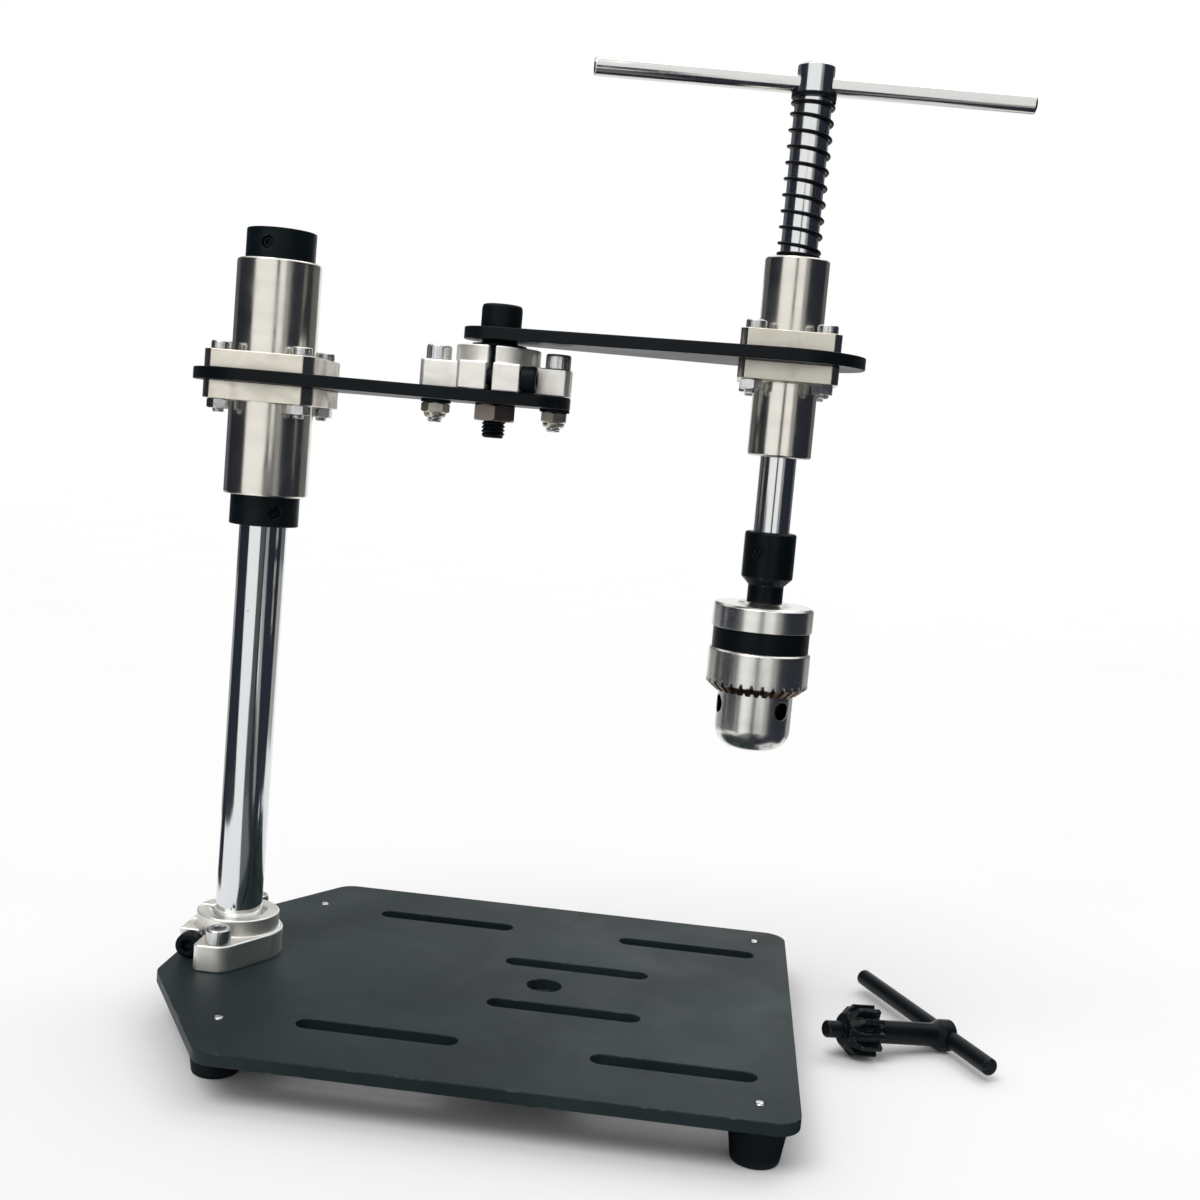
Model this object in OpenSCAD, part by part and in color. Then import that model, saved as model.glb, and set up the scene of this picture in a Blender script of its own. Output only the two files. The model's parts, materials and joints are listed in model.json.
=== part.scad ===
// Manual tapping machine for a bench.
// A slotted base plate on rubber feet carries a round column. A two-link arm swings on the column
// and folds at its elbow, and its end guides a sprung spindle with a T-handle and a keyed
// three-jaw chuck. The chuck's key lies on the bench to the right of the plate.
// Millimetres, +Z up, the bench is z = 0, and the origin is under the middle of the part's box.

/* [Base plate] */
// Length of the plate along X
plate_len = 212; // [205:1:230]
// Width of the plate along Y
plate_w = 173; // [166:1:190]
// Thickness of the plate
plate_t = 4; // [3:0.5:6]
// Distance from the column's axis back to the plate's narrow end
plate_back = 18; // [17.5:0.5:22]
// Width of the flat at the narrow end
plate_nose_w = 54; // [48:1:70]
// Length over which the plate widens from its narrow end
plate_taper = 35; // [30:1:38]
// Radius of the plate's corners
plate_corner_r = 8; // [4:0.5:10]
// Length of a clamping slot, end to end
slot_len = 51; // [40:1:54]
// Width of a clamping slot
slot_w = 7.5; // [6:0.5:9]
// Distance from the column's axis to the middle of the four outer slots
slot_mid_x = 110; // [106:1:114]
// Pitch of the outer slots along X
slot_pitch_x = 92; // [84:1:96]
// Pitch of the outer slots along Y
slot_pitch_y = 113; // [100:1:124]
// Distance from the column's axis to the middle of the two inner slots
inner_slot_x = 118; // [112:1:124]
// Pitch of the two inner slots along Y
inner_slot_pitch_y = 41; // [36:1:56]
// Diameter of the hole through the plate for long work
work_hole_d = 12; // [8:0.5:16]
// Distance from the column's axis to the work hole
work_hole_x = 109; // [104:1:116]

/* [Rubber feet] */
// Height of a foot
foot_h = 13; // [10:0.5:18]
// Diameter of a foot under the plate
foot_top_d = 18.5; // [16:0.5:22]
// Diameter of a foot on the bench
foot_bench_d = 14.5; // [12.5:0.5:16]
// Distance from the column's axis to the rear feet
rear_foot_x = 15; // [12:1:18]
// Distance between the rear feet along Y
rear_foot_pitch = 120; // [110:1:130]
// Distance of the front feet from the plate's wide end
front_foot_inset_x = 12; // [10:0.5:16]
// Distance of the front feet from the plate's long sides
front_foot_inset_y = 12.5; // [10:0.5:16]

/* [Column] */
// Diameter of the column
column_d = 16; // [15:0.25:17]
// Height of the column above the plate
column_len = 247; // [246.5:0.5:270]
// Outer diameter of the collars that hold the arm at its height
collar_d = 23; // [21:0.5:26]
// Height of a collar
collar_h = 10; // [8:0.5:14]

/* [Shaft clamps] */
// Length of a clamp's flange over its two ears
clamp_len = 50; // [48:0.5:54]
// Pitch of the two bolts that hold a clamp down
clamp_pitch = 40; // [38:0.5:41]
// Full height of a clamp
clamp_h = 14.6; // [14:0.2:18]
// Thickness of a clamp's flange
clamp_flange_t = 9; // [8.75:0.25:10]
// Diameter of a clamp's round boss
clamp_boss_d = 28; // [26:0.5:30]
// Width of a clamp's flange at its middle
clamp_flange_w = 31; // [28.5:0.5:34]
// Radius of a clamp's ears
clamp_ear_r = 6.5; // [6:0.25:8]
// Distance from the clamp's axis to the flat front of its ears, beside the lugs
clamp_front = 7; // [6.5:0.25:7.5]
// Width of the block that the slit divides into two lugs
lug_w = 20; // [16:0.5:20]
// Distance from the clamp's axis to the outer face of its lugs
lug_reach = 17; // [16:0.25:17.5]
// Width of the slit
slit_w = 2; // [1:0.25:3]
// Distance from the clamp's axis to its clamping screw
lug_screw_y = 12.5; // [12:0.1:13]
// Height of the clamping screw above the clamp's foot
lug_screw_z = 4.5; // [4.5:0.05:4.6]

/* [Arms] */
// Thickness of both arm plates
arm_t = 4; // [3:0.5:6]
// Height of the lower arm's underside above the base plate
arm_height = 196; // [170:1:196]
// Distance from the column's axis to the elbow's axis
lower_reach = 76; // [68:1:90]
// Distance from the elbow's axis to the spindle's axis
upper_reach = 95; // [85:1:110]
// Radius of the lower arm's round end about the column
lower_arm_r = 26; // [25.5:0.5:34]
// Radius of the lower arm's end under the elbow clamp
lower_arm_tip_r = 15; // [12:0.5:18]
// Radius of the upper arm's round end about the spindle
upper_arm_r = 25; // [23:0.5:30]
// Radius of the upper arm's end about the elbow
upper_arm_tip_r = 12; // [9:0.5:14]
// Diameter of the elbow's pivot bolt
pivot_d = 8; // [6:0.5:9]
// Diameter of the pivot bush's flange on the elbow clamp
bush_flange_d = 18; // [17.5:0.5:24]
// Thickness of the pivot bush's flange
bush_flange_t = 1; // [0.8:0.1:2.5]
// Diameter of the pivot bush's neck under the upper arm
bush_neck_d = 12; // [11:0.5:15]
// Height of the pivot bush's neck
bush_neck_h = 1; // [0.6:0.1:3]

/* [Column bearings] */
// Outer diameter of a column bearing
column_bearing_d = 28; // [27:0.5:30]
// Length of a column bearing, flange included
column_bearing_len = 37; // [30:0.5:37]
// Width of a column bearing's square flange
column_flange_w = 37; // [36:0.5:40]
// Diameter that the square flange's corners are turned to
column_flange_d = 48; // [46:0.5:52]
// Pitch of the flange screws along each side
column_screw_pitch = 27; // [26.5:0.25:28]
// Diameter of a ball that runs on the column
column_ball_d = 3; // [2.5:0.1:3.4]

/* [Spindle bearings] */
// Outer diameter of a spindle bearing
spindle_bearing_d = 21; // [20:0.5:22]
// Length of a spindle bearing, flange included
spindle_bearing_len = 30; // [26:0.5:36]
// Width of a spindle bearing's square flange
spindle_flange_w = 32; // [31.5:0.5:36]
// Diameter that the square flange's corners are turned to
spindle_flange_d = 42; // [40.5:0.5:46]
// Pitch of the flange screws along each side
spindle_screw_pitch = 22.6; // [22.4:0.1:23.5]
// Diameter of a ball that runs on the spindle
spindle_ball_d = 2.4; // [2:0.1:2.6]

/* [Bearing details] */
// Thickness of the bearing flanges
flange_t = 6; // [5:0.25:8]
// Thickness of a bearing's end seal
seal_t = 2; // [1.5:0.25:3]
// Balls in one loaded row
balls_in_row = 5; // [3:1:6]

/* [Spindle] */
// Diameter of the spindle
spindle_d = 12; // [11.5:0.1:12.5]
// Length of the spindle
spindle_len = 163; // [160:1:185]
// Diameter of the T-handle's bar
bar_d = 6; // [5:0.25:7]
// Length of the T-handle's bar
bar_len = 142; // [110:1:150]
// Distance from the spindle's top to the bar's axis
bar_drop = 6.5; // [6:0.25:10]
// Turn of the bar about the spindle as it is drawn
handle_turn = 5; // [-90:1:90]
// Thickness of the washer between the bar and the spring
washer_t = 1.4; // [1:0.1:2.5]
// Length of the return spring at rest
spring_len = 50.4; // [46:0.2:56]
// Diameter of the spring's wire
spring_wire_d = 0.8; // [0.7:0.1:1.4]
// Turns between the spring's closed end turns
spring_turns = 9; // [7:1:11]
// Outer diameter of the chuck adapter
adapter_d = 17; // [16:0.25:20]
// Length of spindle that the adapter takes in
adapter_h = 13; // [11:0.5:18]
// Distance from the adapter's wide part to the chuck
adapter_neck_len = 10; // [9:0.5:16]
// Diameter of the adapter's neck
adapter_neck_d = 11.8; // [10:0.2:12.4]
// Solid length between the spindle's end and the cone that leads to the neck
adapter_web = 2; // [1:0.25:3]

/* [Chuck] */
// Diameter of the chuck's toothed sleeve
sleeve_d = 33.75; // [33.5:0.25:38]
// Length of the toothed sleeve
sleeve_len = 14.3; // [13.5:0.1:16]
// Length of the sleeve's bevelled teeth along the axis
tooth_h = 2.75; // [2.5:0.25:4.5]
// Number of teeth round the sleeve
sleeve_teeth = 30; // [24:1:36]
// Diameter of the chuck's rear body
rear_d = 33.2; // [32.4:0.2:36]
// Length of the rear body
rear_len = 8; // [5:0.25:9]
// Diameter of the black grip band
band_d = 32; // [31.2:0.2:32.2]
// Width of the grip band
band_len = 7; // [5:0.25:9]
// Height of the low boss on the rear body
rear_boss_h = 1; // [0.75:0.25:3]
// Diameter of the chuck's nose
nose_d = 25; // [24.5:0.1:25.5]
// Length of the nose below the sleeve
nose_len = 18.8; // [17.5:0.1:20]
// Radius that rounds the nose's end
nose_round_r = 7; // [5:0.25:7.5]
// Diameter of a key hole in the nose
key_hole_d = 6; // [5:0.2:6.2]
// Distance from the sleeve down to the key holes' axes
key_hole_drop = 4.5; // [4:0.1:6]
// Azimuth of the first key hole, counted from +X
key_hole_turn = -44; // [-180:1:180]
// Largest shank that the jaws take
chuck_capacity = 6.5; // [6:0.1:7]
// Diameter of a jaw
jaw_d = 5.2; // [4.8:0.1:5.4]
// Lean of a jaw to the chuck's axis
jaw_angle = 15; // [14:0.25:16]
// Length of a jaw
jaw_len = 35; // [33:0.25:35.5]

/* [Chuck key] */
// Length of the key from its bar's axis to its tip
key_len = 49; // [46:0.5:60]
// Diameter of the key's stem
key_stem_d = 8; // [7:0.25:9]
// Diameter of the key's pinion over its teeth
pinion_d = 17.5; // [16:0.25:20]
// Length of the key's pinion
pinion_len = 12; // [10:0.5:14]
// Number of pinion teeth
pinion_teeth = 11; // [9:1:13]
// Length of the key's pilot
pilot_len = 7; // [5:0.5:9]
// Diameter of the key's bar
key_bar_d = 6; // [5:0.25:6.5]
// Length of the bar's long side, from the stem's axis
key_bar_long = 58; // [45:1:60]
// Length of the bar's short side, from the stem's axis
key_bar_short = 28; // [20:1:40]
// Turn of the key on the bench, from its tip pointing along -X
key_turn = 25; // [10:1:35]
// Distance from the plate's wide end to the key's tip
key_gap = 9; // [5:1:30]
// Distance of the key's bar behind the part's middle
key_y = 28; // [0:1:28]

/* [Fasteners] */
// Diameter of the bolts through the clamps' ears
ear_bolt_d = 5; // [4:0.5:5.5]
// Diameter of the clamping screws in the clamps' lugs
clamp_screw_d = 5; // [4:0.25:5]
// Diameter of the flange and set screws
small_screw_d = 4; // [3:0.25:4.25]
// Diameter of the screws that hold the feet
foot_screw_d = 3; // [3:0.25:4]

/* [Hidden] */
$fn = 64;

// Radial clearance of a turning or sliding fit
run_gap = 0.05;
// Radial clearance of a bolt in its drilled hole
bolt_gap = 0.25;
// Radial clearance of a screw in its thread
thread_gap = 0.05;
// End play between faces that turn on each other
end_play = 0.05;
// Distance by which a cutting shape passes the face that it cuts
over = 0.5;
// Distance by which a straight side lies inside the round ends that it joins, so that it crosses them
side_inset = 0.05;

// Proportions of socket-head screws and nuts, as multiples of the thread's diameter
head_d_k = 1.7;
socket_k = 0.8;
nut_across_k = 1.65;
low_head_h_k = 0.7;
nut_h_k = 0.8;
lock_nut_h_k = 1;
tip_k = 0.3;

// Heights, from the bench up
plate_top = foot_h + plate_t;
lower_arm_z = plate_top + arm_height;
lower_arm_top = lower_arm_z + arm_t;
bush_h = clamp_h + bush_flange_t + bush_neck_h;
upper_arm_z = lower_arm_top + bush_h + end_play;
upper_arm_top = upper_arm_z + arm_t;
spring_z = upper_arm_top + spindle_bearing_len + end_play;
washer_z = spring_z + spring_len + end_play;
bar_z = washer_z + washer_t + end_play + bar_d / 2;
spindle_z = bar_z + bar_drop - spindle_len;
adapter_z = spindle_z;
chuck_top = adapter_z - adapter_neck_len;
rear_top = chuck_top - rear_boss_h;
band_top = rear_top - rear_len;
sleeve_top = band_top - band_len;
sleeve_z = sleeve_top - sleeve_len;
nose_z = sleeve_z - nose_len;

// Bearing tracks
column_track_r = column_d / 2 + column_ball_d + 2 * run_gap;
spindle_track_r = spindle_d / 2 + spindle_ball_d + 2 * run_gap;
column_rows = 5;
spindle_rows = 4;

// Collars and their set screws
collar_screw_len = 2.4;
lower_collar_z = lower_arm_z - column_bearing_len - end_play - collar_h;
upper_collar_z = lower_arm_top + column_bearing_len + end_play;
lower_collar_turn = -56;
upper_collar_turn = -96;

// Chuck: jaws, split nut and the groove that holds it
jaw_z = nose_z + 1.5;
grip_r = chuck_capacity / 2;
jaw_r = jaw_d / 2;
grip_len = 8;
jaw_tip_r = grip_r + jaw_r / cos(jaw_angle) - grip_len * tan(jaw_angle);
jaw_turn = key_hole_turn + 60;
nut_z = sleeve_z + 3.2;
nut_h = 5.6;
nut_bite = 1.5;
nut_split = 0.4;
sleeve_wall = 2.4;
nut_r = sleeve_d / 2 - sleeve_wall;
groove_r = jaw_axis_r(nut_z) + nut_bite - 2 * run_gap;
band_seat_r = nut_r;
core_r = nut_r - 0.3;
thread_start = nut_z - 1.5;
socket_len = 17;
socket_taper = 1 / 40;
tool_hole_len = 28;

// Chuck key: it lies on the rim of its pinion and on the end of its stem
key_head_d = 11;
key_head_len = 2.5;
key_neck_len = 3.5;
key_back = 1.5;
pinion_near = key_len - pilot_len - pinion_len;
pinion_cone = 4;
pinion_end_d = 10.8;
pinion_depth = 2.5;
pinion_root_d = pinion_d - 2 * pinion_depth;
pilot_d = key_hole_d - 0.2;
key_tilt = atan((pinion_d / 2 - key_head_d / 2) / (pinion_near + key_back));
key_z = key_head_d / 2 * cos(key_tilt) + key_back * sin(key_tilt);
bar_chamfer = 0.6;

// The middle of the part's box in X, measured from the column's axis
plate_end_x = plate_len - plate_back;
spindle_x = lower_reach + upper_reach;
key_x = plate_end_x + key_gap + key_len * cos(key_turn) + pilot_d / 2;
key_end_x = key_x + key_bar_short * sin(key_turn) + (key_bar_d / 2 - bar_chamfer) * cos(key_turn);
key_side_x = key_x + (key_bar_short - bar_chamfer) * sin(key_turn) + key_bar_d / 2 * cos(key_turn);
box_min_x = min(-lower_arm_r, -plate_back);
box_max_x = max(plate_end_x, spindle_x + bar_len / 2, key_end_x, key_side_x);
frame_x = -(box_min_x + box_max_x) / 2;

// Radius of a jaw's axis at height z, with the jaws drawn back
function jaw_axis_r(z) = jaw_tip_r + (z - jaw_z) * tan(jaw_angle);

// Unit vector along v
function unit(v) = v / norm(v);

// Half of the angle at corner p between its neighbours a and b
function half_angle(p, a, b) = acos(unit(a - p) * unit(b - p)) / 2;

// The four corners of a square pattern
function square_pattern(pitch) = [for (x = [-1, 1], y = [-1, 1]) [x * pitch / 2, y * pitch / 2]];

// Places in the part

module at_column(z) translate([frame_x, 0, z]) children();

module at_elbow(z) translate([frame_x + lower_reach, 0, z]) children();

module at_spindle(z) translate([frame_x + spindle_x, 0, z]) children();

module at_points(points) for (p = points) translate(p) children();

// Shared shapes

// Tube that stands on z = 0
module tube(outer_r, inner_r, h) {
    difference() {
        cylinder(r = outer_r, h = h);
        translate([0, 0, -over]) cylinder(r = inner_r, h = h + 2 * over);
    }
}

// Rod that stands on z = 0, with chamfered ends
module rod(d, h, chamfer) {
    rotate_extrude()
        polygon([
            [0, 0], [d / 2 - chamfer, 0], [d / 2, chamfer],
            [d / 2, h - chamfer], [d / 2 - chamfer, h], [0, h]
        ]);
}

// Polygon whose corners are rounded to radius r
module rounded_polygon(points, r) {
    n = len(points);
    corners = [for (i = [0:n - 1]) [points[i], points[(i + n - 1) % n], points[(i + 1) % n]]];
    polygon([
        for (c = corners) for (neighbour = [c[1], c[2]])
            c[0] + unit(neighbour - c[0]) * r / tan(half_angle(c[0], c[1], c[2]))
    ]);
    for (c = corners)
        translate(c[0] + unit(unit(c[1] - c[0]) + unit(c[2] - c[0])) * r / sin(half_angle(c[0], c[1], c[2])))
            circle(r = r);
}

// Two circles a distance apart along X, joined by their outer tangents
module tangent_outline(r1, r2, distance) {
    lean = acos((r1 - r2) / distance);
    near = r1 - side_inset;
    far = r2 - side_inset;
    polygon([
        [0, 0], near * [cos(lean), -sin(lean)], [distance, 0] + far * [cos(lean), -sin(lean)],
        [distance, 0], [distance, 0] + far * [cos(lean), sin(lean)], near * [cos(lean), sin(lean)]
    ]);
    circle(r = r1);
    translate([distance, 0]) circle(r = r2);
}

// Slot along X, cut through a plate of thickness t that lies on z = 0
module slot_cut(length, width, t) {
    translate([0, 0, -over]) linear_extrude(t + 2 * over) {
        square([length - width, width], center = true);
        for (side = [-1, 1]) translate([side * (length - width) / 2, 0]) circle(d = width);
    }
}

// Hole cut through a plate of thickness t that lies on z = 0
module hole_cut(d, t) translate([0, 0, -over]) cylinder(d = d, h = t + 2 * over);

// Screw whose head stands on z = 0 and whose shank hangs below it
module socket_screw(d, head_h, shank) {
    difference() {
        union() {
            cylinder(d = d * head_d_k, h = head_h);
            translate([0, 0, -shank]) cylinder(d = d, h = shank + over);
        }
        translate([0, 0, head_h * 0.45]) cylinder(d = d * socket_k / cos(30), h = head_h, $fn = 6);
    }
}

// Hexagon nut that stands on z = 0
module hex_nut(d, h) {
    difference() {
        cylinder(d = d * nut_across_k / cos(30), h = h, $fn = 6);
        hole_cut(d + 2 * thread_gap, h);
    }
}

// Headless set screw whose inner end is at radius r, pointing outwards along X
module set_screw(d, r, length) {
    translate([r, 0, 0]) rotate([0, 90, 0])
        difference() {
            cylinder(d = d, h = length);
            translate([0, 0, length * 0.4]) cylinder(d = d * 0.5 / cos(30), h = length, $fn = 6);
        }
}

// Split shaft clamp on z = 0: ears along X, lugs towards -Y
module shaft_clamp() {
    ear_x = clamp_len / 2 - clamp_ear_r;
    end_x = clamp_len / 2 - side_inset;
    corner = 1.5;
    bore_r = column_d / 2 + thread_gap;
    bevel = 1.6;
    difference() {
        union() {
            linear_extrude(clamp_flange_t) {
                intersection() {
                    for (side = [0, 180])
                        rotate(side) tangent_outline(clamp_flange_w / 2, clamp_ear_r, ear_x);
                    translate([-clamp_len, corner - clamp_front]) square(2 * clamp_len);
                }
                polygon([
                    [-end_x, 0], [-end_x, corner - clamp_front], [corner - end_x, -clamp_front],
                    [end_x - corner, -clamp_front], [end_x, corner - clamp_front], [end_x, 0]
                ]);
                translate([-lug_w / 2, -lug_reach]) square([lug_w, lug_reach]);
            }
            cylinder(d = clamp_boss_d, h = clamp_h);
        }
        hole_cut(2 * bore_r, clamp_h);
        translate([0, 0, clamp_h - bevel])
            cylinder(r1 = bore_r, r2 = bore_r + bevel + over, h = bevel + over);
        translate([-slit_w / 2, -lug_reach - over, -over]) cube([slit_w, lug_reach, clamp_h + 2 * over]);
        for (side = [-1, 1])
            translate([side * clamp_pitch / 2, 0, 0]) hole_cut(ear_bolt_d + 2 * bolt_gap, clamp_h);
        translate([-lug_w, -lug_screw_y, lug_screw_z])
            rotate([0, 90, 0]) cylinder(d = clamp_screw_d + 2 * thread_gap, h = 2 * lug_w);
        translate([lug_w / 2, -lug_screw_y, lug_screw_z])
            rotate([0, 90, 0]) cylinder(d = clamp_screw_d * head_d_k + 4 * bolt_gap, h = lug_w / 2);
    }
}

// Clamping screw of a shaft clamp, with its head towards +X
module lug_screw() {
    translate([lug_w / 2, -lug_screw_y, lug_screw_z])
        rotate([0, 90, 0]) socket_screw(clamp_screw_d, clamp_screw_d, lug_w);
}

// Bolts down through a clamp's ears, to a depth below its foot
module ear_bolts(depth) {
    for (side = [-1, 1])
        translate([side * clamp_pitch / 2, 0, clamp_flange_t])
            socket_screw(ear_bolt_d, ear_bolt_d, clamp_flange_t + depth);
}

// Outer ring of a linear ball bearing: its flange lies on z = 0 and its barrel stands up
module bearing_shell(barrel_d, length, track_r, flange_w, flange_d, screw_pitch) {
    difference() {
        union() {
            rod(barrel_d, length, 0.5);
            intersection() {
                cylinder(d = flange_d, h = flange_t);
                translate([-flange_w / 2, -flange_w / 2, 0]) cube([flange_w, flange_w, flange_t]);
            }
        }
        hole_cut(2 * track_r, length);
        at_points(square_pattern(screw_pitch)) hole_cut(small_screw_d + 2 * bolt_gap, flange_t);
    }
}

// Ball cage between the seals: a tube with one long window for each row of balls
module bearing_cage(shaft_d, track_r, ball_d, length, rows) {
    window = balls_in_row * (ball_d + 0.4);
    cage_h = length - 2 * seal_t;
    translate([0, 0, seal_t]) difference() {
        tube(track_r - 0.3, shaft_d / 2 + 0.3, cage_h);
        for (row = [0:rows - 1])
            rotate(row * 360 / rows)
                translate([0, -ball_d / 2 - run_gap, (cage_h - window) / 2])
                    cube([track_r, ball_d + 2 * run_gap, window]);
    }
}

// Loaded balls of one bearing
module bearing_balls(shaft_d, ball_d, length, rows) {
    for (row = [0:rows - 1], ball = [0:balls_in_row - 1])
        rotate(row * 360 / rows)
            translate([
                shaft_d / 2 + run_gap + ball_d / 2, 0,
                length / 2 + (ball - (balls_in_row - 1) / 2) * (ball_d + 0.4)
            ])
                sphere(d = ball_d);
}

// End seals of one bearing
module bearing_seals(shaft_d, track_r, length) {
    for (z = [0, length - seal_t])
        translate([0, 0, z]) tube(track_r - 0.02, shaft_d / 2 + run_gap, seal_t);
}

// The upper bearing of a pair stands on its arm and the lower one hangs under it, flange to plate
module above_and_below(arm_z) {
    translate([0, 0, arm_z + arm_t]) children();
    translate([0, 0, arm_z]) mirror([0, 0, 1]) children();
}

// Screws through both flanges and the arm between them, with their heads on the upper flange
module flange_screws(pitch) {
    nut_h = small_screw_d * nut_h_k;
    shank = 2 * flange_t + arm_t + nut_h + small_screw_d * tip_k;
    at_points(square_pattern(pitch)) translate([0, 0, arm_t + flange_t])
        socket_screw(small_screw_d, small_screw_d * low_head_h_k, shank);
}

module flange_nuts(pitch) {
    nut_h = small_screw_d * nut_h_k;
    at_points(square_pattern(pitch)) translate([0, 0, -flange_t - nut_h]) hex_nut(small_screw_d, nut_h);
}

// Base

plate_corners = [
    [-plate_back, -plate_nose_w / 2], [plate_taper - plate_back, -plate_w / 2],
    [plate_end_x, -plate_w / 2], [plate_end_x, plate_w / 2],
    [plate_taper - plate_back, plate_w / 2], [-plate_back, plate_nose_w / 2]
];
foot_points = [
    for (side = [-1, 1]) each [
        [rear_foot_x, side * rear_foot_pitch / 2],
        [plate_end_x - front_foot_inset_x, side * (plate_w / 2 - front_foot_inset_y)]
    ]
];
outer_slots = [
    for (x = [-1, 1], y = [-1, 1]) [slot_mid_x + x * slot_pitch_x / 2, y * slot_pitch_y / 2]
];
inner_slots = [for (y = [-1, 1]) [inner_slot_x, y * inner_slot_pitch_y / 2]];
foot_recess_h = 6;
foot_recess_d = 9;
foot_screw_tip = 0.3;

module base_plate() {
    color("#2b2e30") at_column(foot_h) difference() {
        linear_extrude(plate_t) rounded_polygon(plate_corners, plate_corner_r);
        at_points(outer_slots) slot_cut(slot_len, slot_w, plate_t);
        at_points(inner_slots) slot_cut(slot_len, slot_w, plate_t);
        translate([work_hole_x, 0, 0]) hole_cut(work_hole_d, plate_t);
        at_points(foot_points) hole_cut(foot_screw_d + 2 * thread_gap, plate_t);
        for (side = [-1, 1])
            translate([0, side * clamp_pitch / 2, 0]) hole_cut(ear_bolt_d + 2 * thread_gap, plate_t);
    }
}

module rubber_feet() {
    color("#17181a") at_column(0) at_points(foot_points) difference() {
        cylinder(d1 = foot_bench_d, d2 = foot_top_d, h = foot_h);
        hole_cut(foot_screw_d + 2 * thread_gap, foot_h);
        translate([0, 0, -over]) cylinder(d = foot_recess_d, h = foot_recess_h + over);
    }
}

// The screws come up through the feet, and their tips show in the plate's top
module foot_screws() {
    color("#c9ccd0") at_column(foot_recess_h) at_points(foot_points)
        mirror([0, 0, 1])
            socket_screw(foot_screw_d, foot_screw_d * low_head_h_k, plate_top - foot_recess_h + foot_screw_tip);
}

module column_foot_clamp() color("#cfcac0") at_column(plate_top) rotate(-90) shaft_clamp();

module column_foot_bolts() color("#c9ccd0") at_column(plate_top) rotate(-90) ear_bolts(plate_t);

module column_clamp_screw() color("#17181a") at_column(plate_top) rotate(-90) lug_screw();

module column() color("#d9dde0") at_column(plate_top) rod(column_d, column_len, 1);

// Collars on the column

module collar(screw_turn) {
    difference() {
        tube(collar_d / 2, column_d / 2 + run_gap / 2, collar_h);
        translate([0, 0, collar_h / 2]) rotate(screw_turn) rotate([0, 90, 0])
            cylinder(d = small_screw_d + 2 * thread_gap, h = collar_d);
    }
}

module lower_collar() color("#1b1c1e") at_column(lower_collar_z) collar(lower_collar_turn);

module upper_collar() color("#1b1c1e") at_column(upper_collar_z) collar(upper_collar_turn);

module collar_set_screws() {
    color("#17181a") for (place = [[lower_collar_z, lower_collar_turn], [upper_collar_z, upper_collar_turn]])
        at_column(place[0] + collar_h / 2) rotate(place[1])
            set_screw(small_screw_d, column_d / 2 + run_gap / 2, collar_screw_len);
}

// Lower arm

module lower_arm_plate() {
    tip_x = lower_reach + clamp_len / 2 - lower_arm_tip_r;
    color("#232527") at_column(lower_arm_z) difference() {
        linear_extrude(arm_t) tangent_outline(lower_arm_r, lower_arm_tip_r, tip_x);
        hole_cut(column_d + 2, arm_t);
        at_points(square_pattern(column_screw_pitch)) hole_cut(small_screw_d + 2 * bolt_gap, arm_t);
        translate([lower_reach, 0, 0]) {
            hole_cut(pivot_d + 2 * bolt_gap, arm_t);
            for (side = [-1, 1])
                translate([side * clamp_pitch / 2, 0, 0]) hole_cut(ear_bolt_d + 2 * bolt_gap, arm_t);
        }
    }
}

module column_shell() {
    bearing_shell(column_bearing_d, column_bearing_len, column_track_r,
        column_flange_w, column_flange_d, column_screw_pitch);
}

module column_bearing_upper() color("#c4c2bb") at_column(lower_arm_top) column_shell();

module column_bearing_lower() color("#c4c2bb") at_column(lower_arm_z) mirror([0, 0, 1]) column_shell();

module column_bearing_cages() {
    color("#3a5f52") at_column(0) above_and_below(lower_arm_z)
        bearing_cage(column_d, column_track_r, column_ball_d, column_bearing_len, column_rows);
}

module column_bearing_balls() {
    color("#e2e4e6") at_column(0) above_and_below(lower_arm_z)
        bearing_balls(column_d, column_ball_d, column_bearing_len, column_rows);
}

module column_bearing_seals() {
    color("#1d1d1f") at_column(0) above_and_below(lower_arm_z)
        bearing_seals(column_d, column_track_r, column_bearing_len);
}

module column_flange_screws() color("#c9ccd0") at_column(lower_arm_z) flange_screws(column_screw_pitch);

module column_flange_nuts() color("#c9ccd0") at_column(lower_arm_z) flange_nuts(column_screw_pitch);

// Elbow

ear_washer_t = 1;
ear_nut_h = ear_bolt_d * lock_nut_h_k;
pivot_nut_h = pivot_d * 0.7;
pivot_tip = 5.5;

module elbow_clamp() color("#d3cfc6") at_elbow(lower_arm_top) shaft_clamp();

module elbow_clamp_screw() color("#17181a") at_elbow(lower_arm_top) lug_screw();

module elbow_clamp_bolts() {
    color("#c9ccd0") at_elbow(lower_arm_top)
        ear_bolts(arm_t + ear_washer_t + ear_nut_h + ear_bolt_d * tip_k);
}

module elbow_clamp_washers() {
    color("#1b1c1e") at_elbow(lower_arm_z - ear_washer_t) for (side = [-1, 1])
        translate([side * clamp_pitch / 2, 0, 0])
            tube(ear_bolt_d, ear_bolt_d / 2 + bolt_gap, ear_washer_t);
}

module elbow_clamp_nuts() {
    color("#c8c4b4") at_elbow(lower_arm_z - ear_washer_t - ear_nut_h) for (side = [-1, 1])
        translate([side * clamp_pitch / 2, 0, 0]) hex_nut(ear_bolt_d, ear_nut_h);
}

// Flanged bush that the elbow clamp grips, with a neck that the upper arm turns on
module pivot_bush() {
    color("#17181a") at_elbow(lower_arm_top) difference() {
        union() {
            cylinder(d = column_d, h = clamp_h);
            translate([0, 0, clamp_h]) cylinder(d = bush_flange_d, h = bush_flange_t);
            cylinder(d = bush_neck_d, h = bush_h);
        }
        hole_cut(pivot_d + 2 * thread_gap, bush_h);
    }
}

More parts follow.
